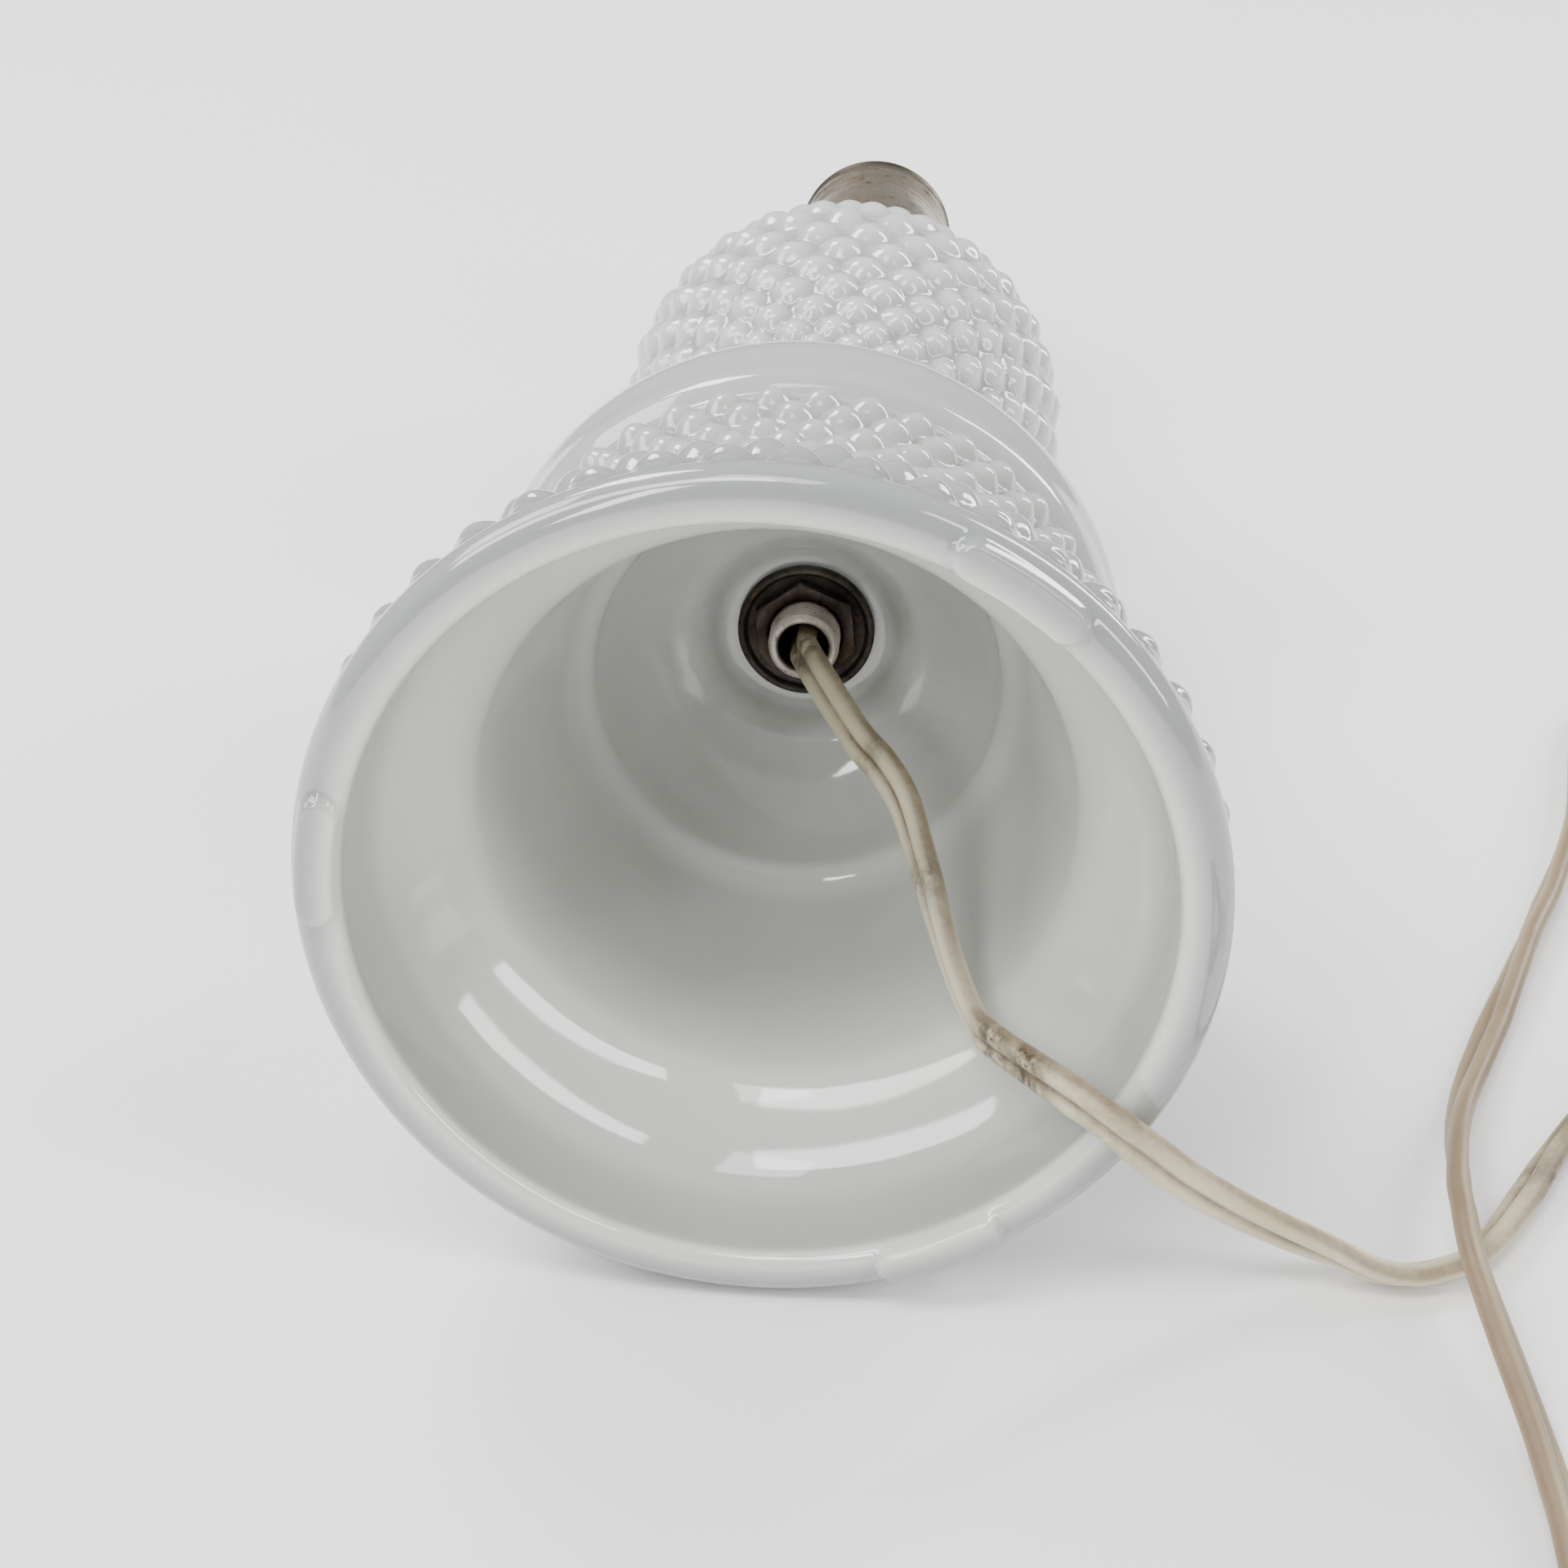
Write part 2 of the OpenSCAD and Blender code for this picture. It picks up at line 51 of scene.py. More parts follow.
# Lower and upper end of the lamp pipe, along the axis from the rim
PIPE_Z0, PIPE_Z1 = 72.8, 236.0


def lay(x, u, z):
    """Points given across, up and along the lamp's axis, laid down into the row frame."""
    x, u, z = (np.asarray(v, float)[..., None] for v in (x, u, z))
    return RIM + x * SIDE + u * UP + z * AXIS


def smooth_turn(t):
    """Half a cosine wave from 0 to 1."""
    return (1.0 - np.cos(math.pi * np.clip(t, 0.0, 1.0))) / 2.0


def smooth_step(t):
    """An eased step from 0 to 1, level at both ends."""
    t = np.clip(t, 0.0, 1.0)
    return t * t * (3.0 - 2.0 * t)


# ---------------------------------------------------------------- camera
CAM_AT = (0.0189, -0.344, 0.1972)
CAM_DOWN = 32.57
CAM_LEFT = 4.54
CAM_LENS, CAM_SENSOR = 52.5, 36.0
cam_data = bpy.data.cameras.new("camera")
cam_data.lens = CAM_LENS
cam_data.sensor_width = CAM_SENSOR
cam_data.clip_start = 0.01
cam = bpy.data.objects.new("camera", cam_data)
cam.location = CAM_AT
cam.rotation_euler = (math.radians(90.0 - CAM_DOWN), 0.0, math.radians(CAM_LEFT))
bpy.context.scene.collection.objects.link(cam)
bpy.context.scene.camera = cam


# ---------------------------------------------------------------- node materials
class Mat:
    """A material with one Principled shader and a few ready-made pattern nodes."""

    def __init__(self, name, rough=0.4, metal=0.0):
        self.mat = bpy.data.materials.new(name)
        self.mat.use_nodes = True
        self.tree = self.mat.node_tree
        self.bsdf = self.tree.nodes["Principled BSDF"]
        self.bsdf.inputs["Roughness"].default_value = rough
        self.bsdf.inputs["Metallic"].default_value = metal
        self.bsdf.inputs["IOR"].default_value = 1.5
        self.place = self.tree.nodes.new("ShaderNodeTexCoord").outputs["Object"]

    def link(self, a, b):
        self.tree.links.new(a, b)

    def noise(self, scale, detail=3.0, rough=0.55, stretch=None):
        n = self.tree.nodes.new("ShaderNodeTexNoise")
        n.inputs["Scale"].default_value = scale
        n.inputs["Detail"].default_value = detail
        n.inputs["Roughness"].default_value = rough
        if stretch:
            m = self.tree.nodes.new("ShaderNodeMapping")
            m.inputs["Scale"].default_value = stretch
            self.link(self.place, m.inputs["Vector"])
            self.link(m.outputs["Vector"], n.inputs["Vector"])
        else:
            self.link(self.place, n.inputs["Vector"])
        return n.outputs["Fac"]

    def attribute(self, name):
        n = self.tree.nodes.new("ShaderNodeAttribute")
        n.attribute_name = name
        return n.outputs["Fac"]

    def ramp(self, fac, stops):
        n = self.tree.nodes.new("ShaderNodeValToRGB")
        ends = n.color_ramp.elements
        while len(ends) < len(stops):
            ends.new(0.5)
        for e, (at, value) in zip(ends, stops, strict=True):
            e.position = at
            e.color = (*value, 1.0) if isinstance(value, tuple) else (value, value, value, 1.0)
        self.link(fac, n.inputs["Fac"])
        return n.outputs["Color"]

    def mix(self, fac, a, b):
        n = self.tree.nodes.new("ShaderNodeMix")
        n.data_type = "RGBA"
        for end, value in (("Factor", fac), ("A", a), ("B", b)):
            named = [s for s in n.inputs if s.name == end and s.enabled]
            socket = next(s for s in named if end == "Factor" or s.type == "RGBA")
            if isinstance(value, (tuple, float)):
                socket.default_value = (*value, 1.0) if isinstance(value, tuple) else value
            else:
                self.link(value, socket)
        return next(s for s in n.outputs if s.type == "RGBA")

    def math(self, op, a, b):
        n = self.tree.nodes.new("ShaderNodeMath")
        n.operation = op
        for socket, value in zip(n.inputs, (a, b), strict=False):
            if isinstance(value, float):
                socket.default_value = value
            else:
                self.link(value, socket)
        return n.outputs["Value"]

    def color(self, out):
        self.link(out, self.bsdf.inputs["Base Color"])

    def roughness(self, fac, low, high):
        n = self.tree.nodes.new("ShaderNodeMapRange")
        n.inputs["To Min"].default_value = low
        n.inputs["To Max"].default_value = high
        self.link(fac, n.inputs["Value"])
        self.link(n.outputs["Result"], self.bsdf.inputs["Roughness"])

    def bump(self, height, strength, distance):
        n = self.tree.nodes.new("ShaderNodeBump")
        n.inputs["Strength"].default_value = strength
        n.inputs["Distance"].default_value = distance
        self.link(height, n.inputs["Height"])
        self.link(n.outputs["Normal"], self.bsdf.inputs["Normal"])


def milk_glass(name, pale, deep, dust_shade_tint, skin, rough):
    """White opal glass: gloss over a soft, light-filled body, with dust and painted shade in its crevices.

    Its outside attribute blends from the body's clouds of pale and deep to the skin's darker colour: painted shade,
    toning down the outside and the inner wall near the lip, which the lamps light most.
    """
    m = Mat(name)
    m.bsdf.inputs["Subsurface Weight"].default_value = 0.55
    m.bsdf.inputs["Subsurface Radius"].default_value = (1.0, 0.92, 0.8)
    m.bsdf.inputs["Subsurface Scale"].default_value = 0.006
    m.bsdf.inputs["Specular IOR Level"].default_value = 0.9
    clouds = m.noise(22.0, 4.0, 0.6)
    body = m.mix(m.ramp(clouds, [(0.35, 0.0), (0.7, 1.0)]), pale, deep)
    body = m.mix(m.attribute("outside"), body, skin)
    # Painted shade, with dust, in the crevices between hobnails and in the foot's inner recess
    crevice = m.attribute("crevice")
    patchy = m.ramp(m.noise(260.0, 5.0, 0.7), [(0.3, 0.35), (0.65, 1.0)])
    dust_and_shade = m.math("MULTIPLY", crevice, patchy)
    specks = m.ramp(m.noise(900.0, 2.0, 0.5), [(0.76, 0.0), (0.8, 1.0)])
    body = m.mix(dust_and_shade, body, dust_shade_tint)
    m.color(m.mix(m.math("MULTIPLY", specks, 0.18), body, (0.3, 0.29, 0.26)))
    wear = m.math("ADD", m.noise(60.0, 4.0, 0.6), m.math("MULTIPLY", crevice, 0.5))
    m.roughness(wear, *rough)
    m.bump(m.noise(95.0, 2.0, 0.45), 0.06, 0.0004)
    return m.mat


def tarnished(name, bright, dark, stain, rough=(0.25, 0.6), metal=0.92, scale=70.0, worn=0.5):
    """Old plated or brass sheet: bright metal under brown tarnish and spots of stain.

    Its soot attribute darkens it: painted shade in the pipe's bore and thread roots, and darker towards the nut's
    hole and the shell's top edge; worn is where in the noise the tarnish begins.
    """
    m = Mat(name, metal=metal)
    patches = m.ramp(m.noise(scale, 6.0, 0.7), [(worn - 0.16, 0.0), (worn + 0.14, 1.0)])
    spots = m.ramp(m.noise(scale * 5.0, 4.0, 0.65), [(0.56, 0.0), (0.66, 1.0)])
    body = m.mix(m.math("MULTIPLY", spots, 0.7), m.mix(patches, bright, dark), stain)
    m.color(m.mix(m.attribute("soot_and_shade"), body, tuple(0.18 * v for v in stain)))
    fine = m.noise(scale * 12.0, 4.0, 0.7, (1.0, 0.25, 1.0))
    m.roughness(m.math("ADD", m.math("MULTIPLY", patches, 0.6), m.math("MULTIPLY", fine, 0.4)), *rough)
    m.bump(m.math("ADD", fine, m.math("MULTIPLY", spots, 0.6)), 0.25, 0.00012)
    return m.mat


HANDLED_TANS = ((0.29, 0.215, 0.12), (0.21, 0.15, 0.082))
GROOVE_BROWN = (0.17, 0.11, 0.062)


def vinyl(name, pale, yellow, stain):
    """Aged cord vinyl: yellowed unevenly, grime with painted shade along the groove and the edges, and grime at the
    stains.

    Its handled attribute blends to the tans of the part that lies outside the lamp.
    """
    m = Mat(name, rough=0.42)
    m.bsdf.inputs["Subsurface Weight"].default_value = 0.12
    m.bsdf.inputs["Subsurface Radius"].default_value = (1.0, 0.7, 0.45)
    m.bsdf.inputs["Subsurface Scale"].default_value = 0.0012
    aged = m.ramp(m.noise(38.0, 5.0, 0.62), [(0.32, 0.0), (0.68, 1.0)])
    body = m.mix(m.attribute("handled"), m.mix(aged, pale, yellow), m.mix(aged, *HANDLED_TANS))
    groove_patches = m.ramp(m.noise(140.0, 5.0, 0.7), [(0.25, 0.4), (0.6, 1.0)])
    # Painted shade, with grime, along the groove and the outer edges
    body = m.mix(m.math("MULTIPLY", m.attribute("groove"), groove_patches), body, GROOVE_BROWN)
    blots = m.ramp(m.noise(420.0, 5.0, 0.72), [(0.36, 0.15), (0.54, 1.0)])
    body = m.mix(m.math("MULTIPLY", m.attribute("stain"), blots), body, stain)
    specks = m.ramp(m.noise(650.0, 3.0, 0.6), [(0.7, 0.0), (0.76, 1.0)])
    m.color(m.mix(m.math("MULTIPLY", specks, 0.35), body, stain))
    m.roughness(m.noise(90.0, 4.0, 0.6), 0.3, 0.62)
    m.bump(m.noise(500.0, 4.0, 0.6), 0.18, 0.0002)
    return m.mat


def moulded(name, base, tint, rough, scale=120.0, bump=0.1):
    """Moulded plastic or board: a slightly mottled body with a fine surface."""
    m = Mat(name, rough=rough)
    m.color(m.mix(m.ramp(m.noise(scale, 5.0, 0.65), [(0.35, 0.0), (0.65, 1.0)]), base, tint))
    fine = m.noise(scale * 9.0, 3.0, 0.6)
    m.roughness(fine, rough * 0.7, min(1.0, rough * 1.4))
    m.bump(fine, bump, 0.00015)
    return m.mat


FOOT_GLASS = milk_glass(
    "milk_glass_foot",
    pale=(0.675, 0.685, 0.65),
    deep=(0.64, 0.65, 0.615),
    dust_shade_tint=(0.30, 0.315, 0.29),
    skin=(0.305, 0.323, 0.315),
    rough=(0.02, 0.12),
)
BALL_GLASS = milk_glass(
    "milk_glass_ball",
    pale=(0.76, 0.77, 0.76),
    deep=(0.72, 0.73, 0.725),
    dust_shade_tint=(0.34, 0.35, 0.34),
    skin=(0.43, 0.45, 0.445),
    rough=(0.06, 0.15),
)
# Each metal's bright, dark and stained colour, then its roughness, metalness, scale and wear
DARK_STEEL = tarnished(
    "dark_steel", (0.10, 0.085, 0.075), (0.035, 0.028, 0.024), (0.12, 0.06, 0.03), (0.35, 0.7), 0.85, 160.0
)
PIPE_METAL = tarnished(
    "pipe_zinc", (0.60, 0.54, 0.49), (0.40, 0.35, 0.31), (0.22, 0.15, 0.11), (0.35, 0.62), 0.6, 240.0, 0.56
)
WAIST_BRASS = tarnished(
    "waist_brass", (0.72, 0.55, 0.28), (0.38, 0.26, 0.12), (0.14, 0.09, 0.05), (0.18, 0.5), 0.95, 60.0, 0.55
)
CAP_METAL = tarnished(
    "cap_brass", (0.55, 0.42, 0.24), (0.24, 0.17, 0.10), (0.10, 0.07, 0.05), (0.25, 0.6), 0.93, 70.0
)
SOCKET_METAL = tarnished(
    "socket_brass", (0.43, 0.38, 0.30), (0.17, 0.13, 0.095), (0.07, 0.045, 0.035), (0.22, 0.62), 0.9, 55.0, 0.52
)
SCREW_BRASS = tarnished(
    "screw_brass", (0.75, 0.58, 0.3), (0.45, 0.33, 0.16), (0.16, 0.11, 0.06), (0.2, 0.5), 0.95, 260.0
)
THREAD_METAL = tarnished(
    "thread_aluminium", (0.78, 0.77, 0.74), (0.55, 0.53, 0.5), (0.25, 0.2, 0.15), (0.22, 0.5), 0.95, 150.0, 0.6
)
BLADE_METAL = tarnished(
    "blade_brass", (0.74, 0.62, 0.36), (0.5, 0.4, 0.22), (0.2, 0.14, 0.08), (0.18, 0.45), 0.95, 180.0, 0.6
)
CORD_VINYL = vinyl("cord_vinyl", (0.74, 0.68, 0.52), (0.61, 0.53, 0.35), (0.055, 0.033, 0.018))
PLUG_VINYL = vinyl("plug_vinyl", (0.62, 0.54, 0.41), (0.52, 0.43, 0.29), (0.15, 0.10, 0.06))
SLEEVE_BOARD = moulded("fibre_sleeve", (0.42, 0.30, 0.19), (0.30, 0.21, 0.13), 0.85, 300.0, 0.4)
PHENOLIC = moulded("black_phenolic", (0.03, 0.026, 0.024), (0.055, 0.042, 0.034), 0.32, 200.0)
KNOB_PLASTIC = moulded("brown_phenolic", (0.045, 0.028, 0.018), (0.09, 0.045, 0.022), 0.24, 260.0)
TIE_PLASTIC = moulded("tie_plastic", (0.035, 0.035, 0.036), (0.06, 0.06, 0.062), 0.5, 400.0, 0.25)


# ---------------------------------------------------------------- mesh helpers
def piece(name, points, faces, mat, body, replaces=(), attributes=None):
    """A smooth mesh piece from points in mm in the row frame, put on its body, with the parts it replaces hidden."""
    mesh = bpy.data.meshes.new(name)
    mesh.from_pydata((np.asarray(points) * MM).tolist(), [], [tuple(int(i) for i in f) for f in faces])
    mesh.validate()
    mesh.shade_smooth()
    for key, values in (attributes or {}).items():
        layer = mesh.attributes.new(key, "FLOAT", "POINT")
        layer.data.foreach_set("value", np.asarray(values, np.float32).ravel())
    mesh.materials.append(mat)
    obj = bpy.data.objects.new(name, mesh)
    bpy.context.scene.collection.objects.link(obj)
    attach(obj, body)
    if replaces:
        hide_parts(*replaces)
    return obj


def sharpen(obj, degrees):
    """Keeps the edges sharper than an angle crisp under smooth shading."""
    obj.data.set_sharp_from_angle(angle=math.radians(degrees))


def rounded(profile, times):
    """A polyline with its corners cut, a number of times over."""
    pts = [np.array(p, float) for p in profile]
    for _ in range(times):
        out = [pts[0]]
        for i in range(1, len(pts) - 1):
            out += [pts[i] * 0.75 + pts[i - 1] * 0.25, pts[i] * 0.75 + pts[i + 1] * 0.25]
        pts = [*out, pts[-1]]
    return np.array(pts)


def spaced(profile, step):
    """A polyline resampled to even steps."""
    p = np.asarray(profile, float)
    s = np.concatenate([[0], np.cumsum(np.linalg.norm(np.diff(p, axis=0), axis=1))])
    n = max(2, int(round(s[-1] / step)) + 1)
    t = np.linspace(0, s[-1], n)
    return np.stack([np.interp(t, s, p[:, k]) for k in range(p.shape[1])], 1)


def bow(cx, cz, a, b, a0, a1, n):
    """Points of an elliptic arc round a centre, from angle a0 to a1 in degrees."""
    t = np.radians(np.linspace(a0, a1, n + 1))
    return [(cx + a * math.cos(v), cz + b * math.sin(v)) for v in t]


def ring_faces(rows, cols, start=0, closed=False):
    """Quads between rows of a grid that wraps round in its columns, and in its rows if closed."""
    i = np.arange(cols)
    k = (i + 1) % cols
    out = []
    for j in range(rows if closed else rows - 1):
        a, b = start + j * cols, start + ((j + 1) % rows) * cols
        out.append(np.stack([a + i, a + k, b + k, b + i], 1))
    return np.concatenate(out).tolist()


def end_faces(rows, cols):
    """One face over each end of a swept grid."""
    return [list(range(cols))[::-1], list(range((rows - 1) * cols, rows * cols))]


def seam_faces(fine_start, cols, coarse_start, coarse):
    """Wide faces between a ring of fine points and a coarser ring."""
    step = cols // coarse
    out = []
    for i in range(coarse):
        fine = [fine_start + (i * step + n) % cols for n in range(step + 1)]
        out.append([*fine, coarse_start + (i + 1) % coarse, coarse_start + i])
    return out


def lathe(name, profile, cols, mat, replaces, turn=None, sharp=None, marks=None):
    """A closed profile of radius and height swept round the lamp's axis, on the lamp's body.

    turn may change the radii; marks gives attributes, each worked out from the plain radii,
    heights and angles; sharp is the angle from which edges stay crisp.
    """
    p = np.asarray(profile, float)
    a = np.arange(cols) * 2 * math.pi / cols
    r, z = np.repeat(p[:, :1], cols, 1), np.repeat(p[:, 1:], cols, 1)
    layers = {key: rule(r, z, a) for key, rule in (marks or {}).items()}
    if turn is not None:
        r, z = turn(r, z, np.broadcast_to(a, r.shape))
    pts = lay(r * np.sin(a), r * np.cos(a), z).reshape(-1, 3)
    faces = ring_faces(len(p), cols, closed=True)
    obj = piece(name, pts, faces, mat, "lamp", replaces, layers)
    outward(obj)
    if sharp:
        sharpen(obj, sharp)
    return obj


def outward(obj):
    """Turns a closed mesh's faces outwards if its volume comes out negative."""
    mesh = obj.data
    mesh.calc_loop_triangles()
    v = np.zeros(len(mesh.vertices) * 3)
    mesh.vertices.foreach_get("co", v)
    v = v.reshape(-1, 3)
    t = np.zeros(len(mesh.loop_triangles) * 3, int)
    mesh.loop_triangles.foreach_get("vertices", t)
    a, b, c = (v[t.reshape(-1, 3)[:, k]] for k in range(3))
    if (np.cross(a, b) * c).sum() < 0:
        mesh.flip_normals()


def cut_hole(obj, centre, direction, radius, length):
    """Cuts a round hole through a piece, with the cutter removed again."""
    bm = bmesh.new()
    wide = radius * MM
    bmesh.ops.create_cone(bm, cap_ends=True, segments=48, radius1=wide, radius2=wide, depth=length * MM)
    mesh = bpy.data.meshes.new("cutter")
    bm.to_mesh(mesh)
    bm.free()
    cutter = bpy.data.objects.new("cutter", mesh)
    bpy.context.scene.collection.objects.link(cutter)
    cutter.rotation_mode = "QUATERNION"
    cutter.rotation_quaternion = Vector((0, 0, 1)).rotation_difference(Vector(direction))
    cutter.location = Vector(np.asarray(centre) * MM)
    mod = obj.modifiers.new("hole", "BOOLEAN")
    mod.operation = "DIFFERENCE"
    mod.solver = "EXACT"
    mod.object = cutter
    bpy.context.view_layer.update()
    done = bpy.data.meshes.new_from_object(obj.evaluated_get(bpy.context.evaluated_depsgraph_get()))
    obj.modifiers.remove(mod)
    obj.data = done
    bpy.data.objects.remove(cutter)


# ---------------------------------------------------------------- cord
CORD_W, CORD_T = 5.2, 2.7
CORD_STEP = 1.1
COIL_AT = np.array([117.0, -240.0])
# In the route, FLOOR_ROW is the height that stands for cord lying on the floor
FLOOR_ROW = 2.6
ROUTE = [
    (0, -73.5, 45.8), (2.4, -80.5, 46), (8.5, -94, 44.6), (12, -99.5, 43.8), (15, -105, 42),
    (17.6, -111.5, 37.6), (21.6, -121.5, 30.2), (24.8, -129.6, 27.6), (27.1, -134.2, 28.2),
    (34.2, -145, 30.9), (38.1, -149.5, 31.3), (42.4, -151, 28.7), (47.6, -149.2, 22.8),
    (54, -145.5, 15.6), (60.5, -143, 10), (67.5, -141.5, 5.5), (74.5, -142, 3),
    (81, -140.5, 2.6), (87, -136.5, 2.6), (94, -126, 2.6), (101, -115, 2.6), (126, -80, 2.6),
    (139, -58, 2.6), (148, -35, 2.6), (150, -18, 2.6), (145, -4, 2.6), (135, 0, 2.6),
    (127, -7, 2.6), (122, -22, 2.6), (115, -47, 2.6), (100, -82.5, 2.6), (88.5, -110.5, 3.4),
    (84.2, -129.5, 7.4), (83.5, -137, 8.3), (83.3, -144, 8.3), (84.2, -150.5, 7.2),
    (87.8, -170.5, 2.9), (88.1, -190, 2.6),
]  # fmt: skip
COIL_SLOTS = [(31.8, 2.6), (26.2, 2.7), (26.2, 6.0), (31.8, 6.1), (31.6, 9.5), (26.4, 9.6)]
COIL_TURNS = 5.5
# Share of a turn after which the coil climbs over to its next place, and points to a turn
COIL_CLIMB, COIL_POINTS = 0.68, 24
TAIL = [(144.6, -228, 8.6), (146, -218, 6.6), (146, -209, 5.5)]


def coil_points():
    """Turns of the coil, each in its place in the bundle, climbing over in the last part."""
    out = []
    for t in np.arange(0.02, COIL_TURNS, 1 / COIL_POINTS):
        k = int(t)
        f = smooth_step((t - k - COIL_CLIMB) / 0.32)
        a, b = COIL_SLOTS[k], COIL_SLOTS[min(k + 1, len(COIL_SLOTS) - 1)]
        wave = 0.25 * math.sin(9.0 * t + k)
        r, z = a[0] + (b[0] - a[0]) * f + wave, a[1] + (b[1] - a[1]) * f
        turn = math.pi + t * 2 * math.pi
        out.append((COIL_AT[0] + r * math.cos(turn), COIL_AT[1] + r * math.sin(turn), z))
    return out


def catmull(points, per=6):
    """A smooth curve through points."""
    p = np.array(points, float)
    p = np.concatenate([[2 * p[0] - p[1]], p, [2 * p[-1] - p[-2]]])
    out = []
    for i in range(1, len(p) - 2):
        a, b, c, d = p[i - 1 : i + 3]
        for t in np.arange(per) / per:
            square, cube = 2 * a - 5 * b + 4 * c - d, 3 * b - a - 3 * c + d
            out.append(0.5 * (2 * b + (c - a) * t + square * t * t + cube * t**3))
    out.append(p[-2])
    return np.array(out)


line = spaced(catmull(ROUTE + coil_points() + TAIL), CORD_STEP)
run = np.concatenate([[0], np.cumsum(np.linalg.norm(np.diff(line, axis=0), axis=1))])
# Turn of the flat section about the line, in degrees, against the length along it in mm
TWISTS = [
    (0, -70), (33, -73), (44, -80), (55, -95), (66, -102), (77, -97), (88, -88), (99, -106), (110, -115),
    (121, -115), (132, -122), (143, -138), (154, -125), (165, -134), (176, -120), (230, -150), (280, -180),
    (330, -140), (363, -88), (374, -80), (385, -66), (396, -78), (407, -62), (418, -42), (429, -50),
    (440, -74), (451, -98), (462, -112), (473, -118), (484, -128), (495, -128), (510, -140), (550, -176),
    (600, -184), (660, -180), (2000, -180),
]  # fmt: skip
twist = np.radians(np.interp(run, *zip(*TWISTS, strict=True)))
COIL_FROM, COIL_OVER, COIL_DROP = 640, 30, 1.0
COIL_SWAY, SWAY_RUN = np.radians(14), 19.0
in_coil = smooth_step((run - COIL_FROM) / COIL_OVER)
twist = twist + in_coil * COIL_SWAY * np.sin(run / SWAY_RUN)
tangent = np.gradient(line, axis=0)
tangent /= np.linalg.norm(tangent, axis=1)[:, None]
flat_side = np.cross(tangent, [0, 0, 1.0])
flat_side /= np.maximum(np.linalg.norm(flat_side, axis=1)[:, None], 1e-9)
over = np.cross(flat_side, tangent)
LOBE_R, LOBE_AT, WEB = CORD_T / 2, (CORD_W - CORD_T) / 2, 0.86
# Height of the cord's middle over the floor at its twist
lean = LOBE_R + LOBE_AT * np.abs(np.sin(twist))
free = np.maximum(line[:, 2] - FLOOR_ROW + lean, lean)
line[:, 2] = np.where(in_coil > 0.5, line[:, 2] - COIL_DROP, free)
LOBE_STEPS = 13
angles = np.radians(np.linspace(-132, 132, LOBE_STEPS))
section = [(LOBE_AT + LOBE_R * math.cos(a), LOBE_R * math.sin(a)) for a in angles]
section.append((0.0, WEB))
section += [(-x, -y) for x, y in section[:LOBE_STEPS]]
section.append((0.0, -WEB))
section = np.array(section)


def swept(middle, side, top, turn):
    """The cord's section at each point of a line, turned from lying flat on its side vector."""
    across = np.cos(turn)[:, None] * side + np.sin(turn)[:, None] * top
    rise = -np.sin(turn)[:, None] * side + np.cos(turn)[:, None] * top
    pts = middle[:, None, :] + section[None, :, :1] * across[:, None, :]
    return pts + section[None, :, 1:] * rise[:, None, :]


cord_pts = swept(line, flat_side, over, twist)
cols = len(section)
rows = len(line)
# Grime and painted shade gather in the groove between the two conductors, and less so on the outer edges
off_web = np.abs(section[:, 0])
groove = np.clip(1.15 - off_web / 0.55, 0, 1)
groove = np.maximum(groove, 0.8 * smooth_step((off_web - 2.0) / 0.6))
stain = np.zeros(rows)
# Place along the cord, half width and depth of each stain
STAINS = [
    (3, 4, 0.85), (27, 2, 0.55), (46, 3, 0.65), (72, 4, 1.0), (79, 5, 1.0), (92, 6, 0.4), (168, 5, 1.0),
    (179, 5, 0.95), (300, 9, 0.6),
]  # fmt: skip
for at, wide, depth in STAINS:
    stain = np.maximum(stain, depth * np.exp(-(((run - at) / wide) ** 2)))
upper_side = 0.6 + 0.4 * (section[:, 1] > 0)
HANDLED_DEPTH, HANDLED_FROM, HANDLED_OVER = 0.92, 135, 60
handled = HANDLED_DEPTH * smooth_step((run - HANDLED_FROM) / HANDLED_OVER)
cord = piece(
    "cord_flat_twin",
    cord_pts.reshape(-1, 3),
    ring_faces(rows, cols) + end_faces(rows, cols),
    CORD_VINYL,
    "lamp",
    ["cord_run", "cord_coil", "cord_tail"],
    {
        "groove": np.broadcast_to(groove, (rows, cols)),
        "stain": np.broadcast_to(stain[:, None], (rows, cols)) * upper_side,
        "handled": np.broadcast_to(handled[:, None], (rows, cols)),
    },
)
outward(cord)


# ---------------------------------------------------------------- plug, blades and tie
PLUG_X, PLUG_Y, PLUG_Z = 146.0, -208.0, 5.5
PLUG_COLS = 40


def plug_section(w, h, power):
    """A rounded rectangle of a width and a height; a greater power makes it squarer."""
    a = np.linspace(0, 2 * math.pi, PLUG_COLS, endpoint=False)
    c, s = np.cos(a), np.sin(a)
    e = 2.0 / power
    return np.stack([w / 2 * np.sign(c) * np.abs(c) ** e, h / 2 * np.sign(s) * np.abs(s) ** e], 1)


plug_rows = []
